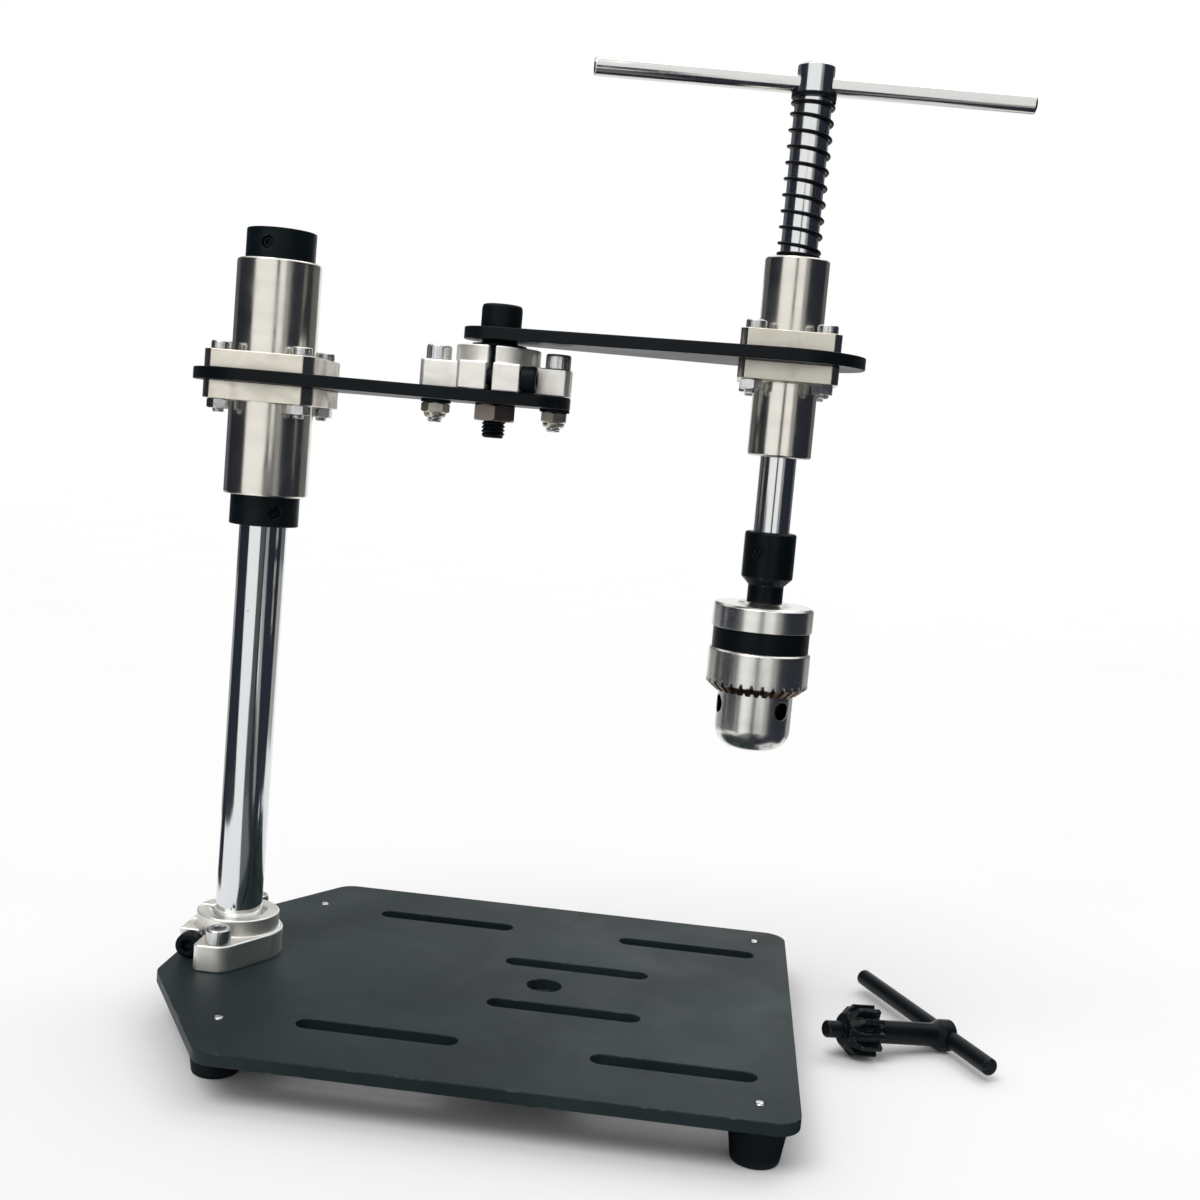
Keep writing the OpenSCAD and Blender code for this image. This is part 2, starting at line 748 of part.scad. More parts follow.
module pivot_bolt() {
    color("#17181a") at_elbow(upper_arm_top + end_play)
        socket_screw(pivot_d, pivot_d, upper_arm_top - lower_arm_z + end_play + pivot_nut_h + pivot_tip);
}

module pivot_nut() color("#8e8378") at_elbow(lower_arm_z - pivot_nut_h) hex_nut(pivot_d, pivot_nut_h);

// Upper arm

module upper_arm_plate() {
    color("#232527") at_elbow(upper_arm_z) difference() {
        linear_extrude(arm_t) tangent_outline(upper_arm_tip_r, upper_arm_r, upper_reach);
        hole_cut(pivot_d + 2 * run_gap, arm_t);
        translate([upper_reach, 0, 0]) {
            hole_cut(spindle_d + 2, arm_t);
            at_points(square_pattern(spindle_screw_pitch)) hole_cut(small_screw_d + 2 * bolt_gap, arm_t);
        }
    }
}

module spindle_shell() {
    bearing_shell(spindle_bearing_d, spindle_bearing_len, spindle_track_r,
        spindle_flange_w, spindle_flange_d, spindle_screw_pitch);
}

module spindle_bearing_upper() color("#c4c2bb") at_spindle(upper_arm_top) spindle_shell();

module spindle_bearing_lower() color("#c4c2bb") at_spindle(upper_arm_z) mirror([0, 0, 1]) spindle_shell();

module spindle_bearing_cages() {
    color("#3a5f52") at_spindle(0) above_and_below(upper_arm_z)
        bearing_cage(spindle_d, spindle_track_r, spindle_ball_d, spindle_bearing_len, spindle_rows);
}

module spindle_bearing_balls() {
    color("#e2e4e6") at_spindle(0) above_and_below(upper_arm_z)
        bearing_balls(spindle_d, spindle_ball_d, spindle_bearing_len, spindle_rows);
}

module spindle_bearing_seals() {
    color("#1d1d1f") at_spindle(0) above_and_below(upper_arm_z)
        bearing_seals(spindle_d, spindle_track_r, spindle_bearing_len);
}

module spindle_flange_screws() color("#c9ccd0") at_spindle(upper_arm_z) flange_screws(spindle_screw_pitch);

module spindle_flange_nuts() color("#c9ccd0") at_spindle(upper_arm_z) flange_nuts(spindle_screw_pitch);

// Return spring: a left-hand helix of round wire with one closed turn at each end

spring_rings = 12;
spring_sides = 6;
spring_fit = 0.2;
// The rings stand far enough out for the chords between them to clear the spindle
spring_r = (spindle_d / 2 + spring_fit + spring_wire_d / 2) / cos(180 / spring_rings);
// Pitch of a closed end turn, which leaves a gap under the next turn
spring_end_pitch = spring_wire_d + 0.6;
spring_pitch = (spring_len - spring_wire_d - 2 * spring_end_pitch) / spring_turns;
spring_ring_count = (spring_turns + 2) * spring_rings;

// Height of the wire's middle after a number of turns
function spring_rise(turns) =
    spring_wire_d / 2
    + spring_end_pitch * (min(turns, 1) + max(turns - spring_turns - 1, 0))
    + spring_pitch * min(max(turns - 1, 0), spring_turns);

function spring_middle(ring) =
    let (turns = ring / spring_rings)
    [spring_r * cos(-360 * turns), spring_r * sin(-360 * turns), spring_rise(turns)];

// The wire runs straight for one diameter past each end of the helix
function spring_ends() =
    let (first = spring_middle(0), last = spring_middle(spring_ring_count))
    [first + [0, spring_wire_d, 0], last + [0, -spring_wire_d, 0]];

spring_path = concat(
    [spring_ends()[0]],
    [for (ring = [0:spring_ring_count]) spring_middle(ring)],
    [spring_ends()[1]]
);

// Ring of points round the wire, square to its run in plan
function spring_ring(i) =
    let (
        p = spring_path[i],
        turn = i == 0 ? 0 : i == len(spring_path) - 1 ? 0 : -360 * (i - 1) / spring_rings,
        out = [cos(turn), sin(turn), 0]
    )
    [
        for (side = [0:spring_sides - 1])
            let (a = 360 * side / spring_sides + 30)
            p + spring_wire_d / 2 * (cos(a) * out + sin(a) * [0, 0, 1])
    ];

// Least gap between the wire's surface and itself a turn on
spring_gap = min([
    for (i = [0:spring_ring_count - spring_rings])
        norm(spring_middle(i + spring_rings) - spring_middle(i)) - spring_wire_d
]);
echo(least_spring_gap = spring_gap);

module return_spring() {
    count = len(spring_path);
    last = (count - 1) * spring_sides;
    points = [for (i = [0:count - 1]) each spring_ring(i)];
    walls = [
        for (i = [0:count - 2], side = [0:spring_sides - 1])
            let (
                a = i * spring_sides + side,
                b = i * spring_sides + (side + 1) % spring_sides
            )
            each [[a, b, b + spring_sides], [a, b + spring_sides, a + spring_sides]]
    ];
    first_cap = [for (side = [1:spring_sides - 2]) [0, side + 1, side]];
    last_cap = [for (side = [1:spring_sides - 2]) [last, last + side, last + side + 1]];
    color("#141516") at_spindle(spring_z) polyhedron(points, concat(walls, first_cap, last_cap));
}

module spring_washer() {
    color("#141516") at_spindle(washer_z)
        tube(spring_r + spring_wire_d / 2, spindle_d / 2 + run_gap, washer_t);
}

// Spindle and handle

module spindle_shaft() {
    color("#d9dde0") at_spindle(spindle_z) difference() {
        rod(spindle_d, spindle_len, 0.8);
        translate([0, 0, spindle_len - bar_drop]) rotate(handle_turn)
            translate([-spindle_d, 0, 0]) rotate([0, 90, 0]) cylinder(d = bar_d + thread_gap, h = 2 * spindle_d);
    }
}

module handle_bar() {
    color("#cdd0d2") at_spindle(bar_z) rotate(handle_turn) translate([-bar_len / 2, 0, 0]) rotate([0, 90, 0])
        rod(bar_d, bar_len, bar_chamfer);
}

// Sleeve that takes in the spindle's end, with a neck and a taper that holds the chuck
adapter_screw_turn = -118;
adapter_screw_sink = 0.5;

module chuck_adapter() {
    shoulder = (adapter_d - adapter_neck_d) / 2;
    taper_r = adapter_neck_d / 2;
    color("#17181a") at_spindle(adapter_z) difference() {
        rotate_extrude() polygon([
            [0, adapter_h], [adapter_d / 2 - 0.6, adapter_h], [adapter_d / 2, adapter_h - 0.6],
            [adapter_d / 2, -adapter_web], [taper_r, -adapter_web - shoulder], [taper_r, -adapter_neck_len],
            [taper_r - socket_len * socket_taper, -adapter_neck_len - socket_len],
            [0, -adapter_neck_len - socket_len]
        ]);
        cylinder(d = spindle_d + thread_gap, h = adapter_h + over);
        translate([0, 0, adapter_h / 2]) rotate(adapter_screw_turn) rotate([0, 90, 0])
            cylinder(d = small_screw_d + 2 * thread_gap, h = adapter_d);
    }
}

module adapter_set_screw() {
    color("#2a2b2d") at_spindle(adapter_z + adapter_h / 2) rotate(adapter_screw_turn)
        set_screw(small_screw_d, spindle_d / 2 + thread_gap, adapter_d / 2 - spindle_d / 2 - adapter_screw_sink);
}

// Keyed chuck

// Half of the nose's profile, with its end rounded
module nose_profile() {
    square([nose_d / 2 - nose_round_r, nose_len]);
    translate([0, nose_round_r]) square([nose_d / 2, nose_len - nose_round_r]);
    intersection() {
        translate([nose_d / 2 - nose_round_r, nose_round_r]) circle(r = nose_round_r);
        translate([nose_d / 2 - nose_round_r, 0]) square(nose_round_r);
    }
}

// The body runs from the boss behind the rear ring, through the sleeve, to the nose
module chuck_body() {
    rear_bevel = 0.8;
    socket_r = adapter_neck_d / 2 + thread_gap / 2;
    color("#c2c2c0") at_spindle(0) difference() {
        rotate_extrude() {
            polygon([
                [0, sleeve_z - over], [nose_d / 2, sleeve_z - over], [nose_d / 2, nut_z - 2 * run_gap],
                [groove_r, nut_z - 2 * run_gap], [groove_r, nut_z + nut_h + 2 * run_gap],
                [core_r, nut_z + nut_h + 2 * run_gap], [core_r, sleeve_top + end_play],
                [band_seat_r, sleeve_top + end_play], [band_seat_r, band_top], [rear_d / 2, band_top],
                [rear_d / 2, rear_top - rear_bevel], [rear_d / 2 - rear_bevel, rear_top],
                [adapter_neck_d / 2 + 3.5, rear_top], [adapter_neck_d / 2 + 1.5, chuck_top], [0, chuck_top]
            ]);
            translate([0, nose_z]) nose_profile();
        }
        translate([0, 0, chuck_top - socket_len - over]) cylinder(
            r1 = socket_r - (socket_len + over) * socket_taper, r2 = socket_r + over * socket_taper,
            h = socket_len + 2 * over);
        translate([0, 0, nose_z - over]) cylinder(r = grip_r + 0.25, h = tool_hole_len + over);
        for (i = [0:2]) {
            rotate(jaw_turn + i * 120) translate([jaw_tip_r, 0, jaw_z]) rotate([0, jaw_angle, 0])
                translate([0, 0, -nose_len / 2])
                    cylinder(r = jaw_r + run_gap, h = jaw_len + nose_len / 2 + 1);
            rotate(key_hole_turn + i * 120) translate([nose_d / 2 - 4.5, 0, sleeve_z - key_hole_drop])
                rotate([0, 90, 0]) cylinder(d = key_hole_d, h = nose_d / 2);
        }
    }
}

module chuck_band() {
    color("#17181a") at_spindle(sleeve_top + end_play) tube(band_d / 2, band_seat_r, band_len - end_play);
}

// Sleeve that the key turns: bevelled teeth round its lower end, and room for the nut inside
module chuck_sleeve() {
    tooth_in_r = nose_d / 2 + 1;
    bevel = 0.6;
    slope = atan2(tooth_h, sleeve_d / 2 - tooth_in_r);
    tooth_w = 360 / sleeve_teeth;
    tooth_depth = 1.1;
    tooth_run = norm([tooth_h, sleeve_d / 2 - tooth_in_r]);
    lead_in = 1.5;
    color("#bdbcb8") at_spindle(sleeve_z) difference() {
        rotate_extrude() polygon([
            [nose_d / 2 + run_gap, 0], [tooth_in_r, 0], [sleeve_d / 2, tooth_h],
            [sleeve_d / 2, sleeve_len - bevel], [sleeve_d / 2 - bevel, sleeve_len],
            [nut_r, sleeve_len], [nut_r, nut_z - sleeve_z], [nose_d / 2 + run_gap, nut_z - sleeve_z]
        ]);
        for (i = [0:sleeve_teeth - 1])
            rotate(i * tooth_w) translate([tooth_in_r, 0, 0]) rotate([0, -slope, 0])
                translate([-lead_in, 0, 0]) rotate([90, 0, 90]) linear_extrude(tooth_run + 2 * lead_in)
                    polygon([[-0.9, -over], [0.9, -over], [0.35, tooth_depth], [-0.35, tooth_depth]]);
    }
}

// Nut in two halves, whose tapered bore bears on the backs of the jaws
module chuck_nut() {
    color("#8f8f8d") at_spindle(0) difference() {
        translate([0, 0, nut_z]) cylinder(r = nut_r - 0.02, h = nut_h);
        translate([0, 0, nut_z - over]) cylinder(
            r1 = jaw_axis_r(nut_z - over) + nut_bite, r2 = jaw_axis_r(nut_z + nut_h + over) + nut_bite,
            h = nut_h + 2 * over);
        translate([-sleeve_d, -nut_split / 2, nut_z - over]) cube([2 * sleeve_d, nut_split, nut_h + 2 * over]);
    }
}

// Jaw with its grip parallel to the chuck's axis, and its back cut to the root of its thread
module chuck_jaw(i) {
    root = nut_bite - 2 * run_gap;
    top = jaw_z + jaw_len;
    color("#9a9a98") at_spindle(0) rotate(jaw_turn + i * 120) difference() {
        intersection() {
            translate([jaw_tip_r, 0, jaw_z]) rotate([0, jaw_angle, 0]) translate([0, 0, -jaw_d])
                cylinder(r = jaw_r, h = jaw_len + jaw_d);
            translate([0, 0, jaw_z]) linear_extrude(jaw_len + jaw_d) polygon([
                [grip_r, 0], [grip_r + nose_d, nose_d * tan(60)], [grip_r + nose_d, -nose_d * tan(60)]
            ]);
        }
        rotate_extrude() polygon([
            [jaw_axis_r(thread_start) + root, thread_start], [jaw_axis_r(top) + root, top],
            [sleeve_d, top], [sleeve_d, thread_start]
        ]);
    }
}

module chuck_jaw_1() chuck_jaw(0);

module chuck_jaw_2() chuck_jaw(1);

module chuck_jaw_3() chuck_jaw(2);

// Chuck key

// Places the key on the bench: its axis runs along +Z from its bar to its tip
module key_place() {
    translate([frame_x + key_x, key_y, key_z]) rotate([0, 0, key_turn]) rotate([0, key_tilt - 90, 0])
        children();
}

// Toothed outline of the pinion, whose tips pass the diameter that they are turned to
module pinion_outline() {
    step = 360 / pinion_teeth;
    root_r = pinion_root_d / 2;
    tip_r = pinion_d / 2 + over;
    polygon([
        for (i = [0:pinion_teeth - 1])
            for (corner = [[root_r, -0.36], [tip_r, -0.14], [tip_r, 0.14], [root_r, 0.36]])
                let (a = (i + corner[1]) * step)
                corner[0] * [-cos(a), sin(a)]
    ]);
}

module key_stem() {
    color("#1e1f21") key_place() difference() {
        union() {
            rotate_extrude() polygon([
                [0, -key_back], [key_head_d / 2, -key_back], [key_head_d / 2, key_head_len],
                [key_stem_d / 2, key_head_len + key_neck_len], [key_stem_d / 2, pinion_near + over],
                [0, pinion_near + over]
            ]);
            translate([0, 0, pinion_near]) intersection() {
                linear_extrude(pinion_len) pinion_outline();
                rotate_extrude() polygon([
                    [0, 0], [pinion_d / 2, 0], [pinion_d / 2, pinion_len - pinion_cone],
                    [pinion_end_d / 2, pinion_len], [0, pinion_len]
                ]);
            }
            translate([0, 0, key_len - pilot_len - over]) rod(pilot_d, pilot_len + over, 0.6);
        }
        rotate([90, 0, 0]) translate([0, 0, -key_head_d]) cylinder(d = key_bar_d + thread_gap, h = 2 * key_head_d);
    }
}

module key_bar() {
    color("#1e1f21") key_place() rotate([-90, 0, 0]) translate([0, 0, -key_bar_short])
        rod(key_bar_d, key_bar_short + key_bar_long, bar_chamfer);
}

base_plate();
rubber_feet();
foot_screws();
column_foot_clamp();
column_foot_bolts();
column_clamp_screw();
column();
lower_collar();
upper_collar();
collar_set_screws();
lower_arm_plate();
column_bearing_upper();
column_bearing_lower();
column_bearing_cages();
column_bearing_balls();
column_bearing_seals();
column_flange_screws();
column_flange_nuts();
elbow_clamp();
elbow_clamp_screw();
elbow_clamp_bolts();
elbow_clamp_washers();
elbow_clamp_nuts();
pivot_bush();
pivot_bolt();
pivot_nut();
upper_arm_plate();
spindle_bearing_upper();
spindle_bearing_lower();
spindle_bearing_cages();
spindle_bearing_balls();
spindle_bearing_seals();
spindle_flange_screws();
spindle_flange_nuts();
return_spring();
spring_washer();
spindle_shaft();
handle_bar();
chuck_adapter();
adapter_set_screw();
chuck_body();
chuck_band();
chuck_sleeve();
chuck_nut();
chuck_jaw_1();
chuck_jaw_2();
chuck_jaw_3();
key_stem();
key_bar();
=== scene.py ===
import json
import math

import bmesh
import bpy
from mathutils import Matrix, Vector


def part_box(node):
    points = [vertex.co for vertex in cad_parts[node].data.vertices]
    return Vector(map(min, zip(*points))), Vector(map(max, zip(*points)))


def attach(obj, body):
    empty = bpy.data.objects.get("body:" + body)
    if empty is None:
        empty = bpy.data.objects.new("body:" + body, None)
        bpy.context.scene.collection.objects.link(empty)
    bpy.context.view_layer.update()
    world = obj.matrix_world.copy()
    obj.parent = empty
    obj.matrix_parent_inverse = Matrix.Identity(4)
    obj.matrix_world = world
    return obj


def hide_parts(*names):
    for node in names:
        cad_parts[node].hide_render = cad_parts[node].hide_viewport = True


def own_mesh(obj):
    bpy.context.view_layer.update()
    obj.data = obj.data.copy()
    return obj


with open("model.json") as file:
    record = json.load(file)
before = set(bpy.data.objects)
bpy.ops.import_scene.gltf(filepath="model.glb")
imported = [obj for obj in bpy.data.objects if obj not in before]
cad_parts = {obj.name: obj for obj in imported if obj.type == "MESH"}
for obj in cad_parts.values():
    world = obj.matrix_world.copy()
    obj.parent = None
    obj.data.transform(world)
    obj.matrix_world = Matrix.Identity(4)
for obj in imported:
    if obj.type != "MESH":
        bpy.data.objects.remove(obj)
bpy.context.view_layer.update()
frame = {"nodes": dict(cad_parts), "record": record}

# Base plate
# A flat steel plate cut to its outline, with six clamping slots and a hole for long work. It is deburred
# and powder-coated in a fine-grained black, and everything else stands on it.

MM = 0.001
WHOLE_TURN = 2 * math.pi
nodes = frame["nodes"]
carrier = {node: body for body, group in frame["record"]["behaviour"]["bodies"].items() for node in group}


def add_node(tree, kind, inputs=None, **settings):
    """Node in a tree. An input takes a plain value, or the output socket that feeds it."""
    made = tree.nodes.new(kind)
    for setting, value in settings.items():
        setattr(made, setting, value)
    for socket, value in (inputs or {}).items():
        if isinstance(value, bpy.types.NodeSocket):
            tree.links.new(value, made.inputs[socket])
        else:
            made.inputs[socket].default_value = value
    return made


def math_node(tree, operation, *values):
    """Result of one sum on plain values or sockets."""
    return add_node(tree, "ShaderNodeMath", dict(enumerate(values)), operation=operation).outputs[0]


def map_range(tree, value, old_low, old_high, low=0.0, high=1.0):
    """Value taken from one range to another, and held there."""
    inputs = {"Value": value, "From Min": old_low, "From Max": old_high, "To Min": low, "To Max": high}
    return add_node(tree, "ShaderNodeMapRange", inputs).outputs["Result"]


def mixed(tree, mask, plain, marked):
    """Value that goes from plain to marked as the mask goes from 0 to 1."""
    return map_range(tree, mask, 0.0, 1.0, plain, marked)


def tint(tree, mask, plain, marked):
    """Colour that goes from plain to marked as the mask goes from 0 to 1."""
    mix = add_node(tree, "ShaderNodeMix", data_type="RGBA")
    tree.links.new(mask, mix.inputs["Factor"])
    for socket, colour in ((mix.inputs[6], plain), (mix.inputs[7], marked)):
        if isinstance(colour, bpy.types.NodeSocket):
            tree.links.new(colour, socket)
        else:
            socket.default_value = (*colour, 1.0)
    return mix.outputs[2]


def feed_shader(tree, shader, colour, roughness, relief, depth):
    """Feeds a shader its colour, its roughness and a relief of depth metres."""
    raised = add_node(tree, "ShaderNodeBump", {"Height": relief, "Distance": depth})
    tree.links.new(colour, shader.inputs["Base Color"])
    tree.links.new(roughness, shader.inputs["Roughness"])
    tree.links.new(raised.outputs["Normal"], shader.inputs["Normal"])


def effect(name, sizes, results):
    """Empty shader group that takes a place on the surface and named sizes in millimetres."""
    tree = bpy.data.node_groups.new(name, "ShaderNodeTree")
    tree.interface.new_socket("Vector", in_out="INPUT", socket_type="NodeSocketVector")
    for label, size in sizes.items():
        tree.interface.new_socket(label, in_out="INPUT", socket_type="NodeSocketFloat").default_value = size
    for label in results:
        tree.interface.new_socket(label, in_out="OUTPUT", socket_type="NodeSocketFloat")
    return tree, tree.nodes.new("NodeGroupInput").outputs, tree.nodes.new("NodeGroupOutput").inputs


def noise(tree, vector, scale, detail, distortion=0.0, dimensions="3D"):
    """Value of a noise texture."""
    inputs = {"Vector": vector, "Scale": scale, "Detail": detail, "Distortion": distortion}
    return add_node(tree, "ShaderNodeTexNoise", inputs, noise_dimensions=dimensions).outputs["Fac"]


def per_metre(tree, size):
    """Scale of a texture whose features are size millimetres across."""
    return math_node(tree, "DIVIDE", 1.0 / MM, size)


def grain_effect():
    """Fine grain of a coat or a casting, and a broad, faint change of tone."""
    tree, given, result = effect("fine_grain", {"Size": 0.5}, ["Height", "Tone"])
    broad_share = 0.012
    scale = per_metre(tree, given["Size"])
    broad = math_node(tree, "MULTIPLY", scale, broad_share)
    tree.links.new(noise(tree, given["Vector"], scale, detail=3.0), result["Height"])
    tree.links.new(noise(tree, given["Vector"], broad, detail=4.0), result["Tone"])
    return tree


def handling_effect():
    """Soft smears where hands and oil have been."""
    tree, given, result = effect("handling_marks", {"Size": 20.0}, ["Mask"])
    smear_start, smear_full = 0.42, 0.72
    scale = per_metre(tree, given["Size"])
    smears = noise(tree, given["Vector"], scale, detail=6.0, distortion=1.2)
    tree.links.new(map_range(tree, smears, smear_start, smear_full), result["Mask"])
    return tree


def edge_effect():
    """Wear on the eased corners of a piece, broken up along each edge."""
    tree, given, result = effect("edge_wear", {"Size": 3.0, "Reach": 0.5}, ["Mask"])
    highest_start, patch_edge = 0.75, 0.1
    eased_face = add_node(tree, "ShaderNodeAttribute", attribute_name="eased").outputs["Fac"]
    start = math_node(tree, "SUBTRACT", highest_start, math_node(tree, "MULTIPLY", given["Reach"], 0.5))
    scale = per_metre(tree, given["Size"])
    over = math_node(tree, "SUBTRACT", noise(tree, given["Vector"], scale, detail=5.0), start)
    patches = map_range(tree, over, 0.0, patch_edge)
    tree.links.new(math_node(tree, "MULTIPLY", patches, eased_face), result["Mask"])
    return tree


fine_grain = grain_effect()
handling_marks = handling_effect()
edge_wear = edge_effect()


def new_finish(name, plain):
    """Material whose shader has these plain socket values; returns it with its tree and shader."""
    made = bpy.data.materials.new(name)
    made.use_nodes = True
    shader = made.node_tree.nodes["Principled BSDF"]
    for socket, value in plain.items():
        shader.inputs[socket].default_value = (*value, 1.0) if socket == "Base Color" else value
    return made, made.node_tree, shader


def surface_point(tree, centre=(0, 0, 0), turn=(0, 0, 0)):
    """Place on the piece, measured from a centre along axes that are turned."""
    here = add_node(tree, "ShaderNodeTexCoord").outputs["Object"]
    inputs = {"Vector": here, "Location": centre, "Rotation": turn}
    return add_node(tree, "ShaderNodeMapping", inputs, vector_type="TEXTURE").outputs["Vector"]


def add_effect(tree, group, vector, **sizes):
    """Outputs of a shared effect, placed in a material with its own sizes."""
    made = add_node(tree, "ShaderNodeGroup", node_tree=group)
    tree.links.new(vector, made.inputs["Vector"])
    for label, size in sizes.items():
        made.inputs[label].default_value = size
    return made.outputs


BRIGHTEST = 0.95


def shade(colour, ratio, lift=0.0):
    """Colour made darker or brighter by a ratio, and no brighter than the brightest metal."""
    return [min(channel * ratio + lift, BRIGHTEST) for channel in colour]


def coat_finish(name, colour, worn, grain_size, grain_depth, rough, shine, reach):
    """Dull coat with a fine grain, handling marks and worn edges."""
    made, tree, shader = new_finish(name, {"IOR": 1.5, "Specular IOR Level": shine})
    here = surface_point(tree)
    grain = add_effect(tree, fine_grain, here, Size=grain_size)
    smears = add_effect(tree, handling_marks, here, Size=38.0)["Mask"]
    wear = add_effect(tree, edge_wear, here, Size=2.5, Reach=reach)["Mask"]
    tone = map_range(tree, grain["Tone"], 0.35, 0.7)
    toned = tint(tree, tone, colour, shade(colour, 1.6, lift=0.002))
    roughness = mixed(tree, smears, rough, rough * 0.82)
    feed_shader(tree, shader, tint(tree, wear, toned, worn), roughness, grain["Height"], grain_depth)
    return made


WELD = 0.0005 * MM
FLAT_ANGLE = math.radians(0.3)
SHARP_ANGLE = math.radians(28)
FACE_WEIGHT = 80


def merged(node):
    """Copy of a CAD node's shape, with its loose triangles joined and its flat faces made whole."""
    shape = bmesh.new()
    shape.from_mesh(nodes[node].data)
    bmesh.ops.remove_doubles(shape, verts=shape.verts, dist=WELD)
    bmesh.ops.dissolve_limit(shape, angle_limit=FLAT_ANGLE, verts=shape.verts, edges=shape.edges)
    return shape


def settle(piece, node):
    """The piece stands for a CAD node: it rides on the node's body, and the node is hidden."""
    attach(piece, carrier[node])
    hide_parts(node)
    return piece


def eased(node, edge, finish, steps=2):
    """Finished piece for a CAD node: the same shape, with its corners eased by edge metres."""
    shape = merged(node)
    mark = shape.faces.layers.float.new("eased")
    corners = [e for e in shape.edges if e.is_manifold and e.calc_face_angle() > SHARP_ANGLE]
    made = bmesh.ops.bevel(
        shape, geom=corners, offset=edge, offset_type="OFFSET", segments=steps, profile=0.5, affect="EDGES"
    )
    for face in made["faces"]:
        face[mark] = 1.0
    for face in shape.faces:
        face.smooth = True
    mesh = bpy.data.meshes.new(node + "_finished")
    shape.to_mesh(mesh)
    shape.free()
    mesh.materials.append(finish)
    piece = bpy.data.objects.new(node + "_finished", mesh)
    bpy.context.scene.collection.objects.link(piece)
    piece.modifiers.new("even shading", "WEIGHTED_NORMAL").weight = FACE_WEIGHT
    return settle(piece, node)


plate_black = coat_finish(
    "black powder coat", colour=(0.0102, 0.0178, 0.0198), worn=(0.05, 0.055, 0.06),
    grain_size=0.45, grain_depth=0.03 * MM, rough=0.5, shine=0.15, reach=0.35
)
eased("base_plate", 0.35 * MM, plate_black, steps=3)

# Rubber feet
# Four moulded feet that taper towards the bench, of soft black rubber with a faint bloom.
# Each is recessed underneath for the screw that holds it to the plate.

foot_rubber = coat_finish(
    "moulded rubber", colour=(0.003, 0.006, 0.008), worn=(0.015, 0.018, 0.02),
    grain_size=0.8, grain_depth=0.02 * MM, rough=0.72, shine=0.15, reach=0.2
)
eased("rubber_feet", 0.7 * MM, foot_rubber, steps=3)

# Foot screws
# Zinc-plated socket-head screws that come up through the feet into tapped holes of the plate,
# so that only their threaded tips show on top, as bright dots.

HEAD_RATIO = 1.7
SOCKET_RATIO = 0.8
SOCKET_DEPTH = 0.55
PITCH_RATIO = 0.16
THREAD_DEPTH = 0.54
RINGS_PER_PITCH = 6
THREADED_PITCHES = 9
LOW_HEAD = 0.7
TALL_HEAD = 1.0
SMOOTH_ANGLE = math.radians(32)


def metal_finish(name, colour, stain, rough, grain_size, grain_depth, reach=0.4):
    """Plated or cast metal with a faint grain, stains where it was handled and brighter edges."""
    made, tree, shader = new_finish(name, {"Metallic": 1.0})
    here = surface_point(tree)
    grain = add_effect(tree, fine_grain, here, Size=grain_size)
    smears = add_effect(tree, handling_marks, here, Size=9.0)["Mask"]
    wear = add_effect(tree, edge_wear, here, Size=1.5, Reach=reach)["Mask"]
    most_stain = 0.45
    stained = tint(tree, mixed(tree, smears, 0.0, most_stain), colour, stain)
    edged = tint(tree, wear, stained, shade(colour, 1.15))
    uneven = math_node(tree, "MULTIPLY", smears, grain["Tone"])
    roughness = map_range(tree, uneven, 0.0, 0.7, rough, rough * 1.6)
    feed_shader(tree, shader, edged, roughness, grain["Height"], grain_depth)
    return made


def turned(name, rings, around, endless=False):
    """Mesh of rings about Z, each a radius and a height; a radius may be a function of the angle.
    The first and last rings are closed by flat ends, or joined to each other where endless."""
    shape = bmesh.new()
    loops = []
    for radius, height in rings:
        loop = []
        for step in range(around):
            angle = WHOLE_TURN * step / around
            reach = radius(angle) if callable(radius) else radius
            loop.append(shape.verts.new((reach * math.cos(angle), reach * math.sin(angle), height)))
        loops.append(loop)
    for lower, upper in zip(loops, loops[1:] + loops[:1] if endless else loops[1:]):
        for step in range(around):
            after = (step + 1) % around
            shape.faces.new((lower[step], lower[after], upper[after], upper[step]))
    if not endless:
        shape.faces.new(list(reversed(loops[0])))
        shape.faces.new(loops[-1])
    for face in shape.faces:
        face.smooth = True
    mesh = bpy.data.meshes.new(name)
    shape.to_mesh(mesh)
    shape.free()
    mesh.set_sharp_from_angle(angle=SMOOTH_ANGLE)
    return mesh


def hexagon(flat):
    """Radius of a hexagon, by the angle, whose sides lie flat from its middle."""
    return lambda angle: flat / math.cos((angle % (WHOLE_TURN / 6)) - WHOLE_TURN / 12)


def thread_crest(outer, pitch, height, share):
    """Radius of a screw thread at a height, by the angle; share fades it out at its ends."""
    depth = THREAD_DEPTH * pitch

    def radius(angle):
        turn = (height / pitch - angle / WHOLE_TURN) % 1.0
        return outer - depth * (1.0 - share * (1.0 - abs(2.0 * turn - 1.0)))

    return radius


def threaded_rings(thread, low, high):
    """Rings of a threaded stretch from its chamfered tip at low up to high, where it runs out."""
    pitch = PITCH_RATIO * thread
    tip = 0.04 * thread
    count = round((high - low) / pitch * RINGS_PER_PITCH)
    rings = [(thread * 0.34, low), (thread * 0.39, low + tip / 2)]
    for step in range(count + 1):
        height = low + tip + (high - low - tip) * step / count
        share = min(1.0, 0.3 + step / RINGS_PER_PITCH)
        rings.append((thread_crest(thread / 2, pitch, height, share), height))
    return rings


def socket_rings(flat, top, depth):
    """Rings of a hexagon socket: its broached mouth, its walls and the drilled cone at its bottom."""
    return [
        (flat * 1.22, top), (hexagon(flat), top - 0.06 * flat), (hexagon(flat), top - depth),
        (flat * 0.8, top - depth), (flat * 0.1, top - depth - 0.3 * flat),
    ]


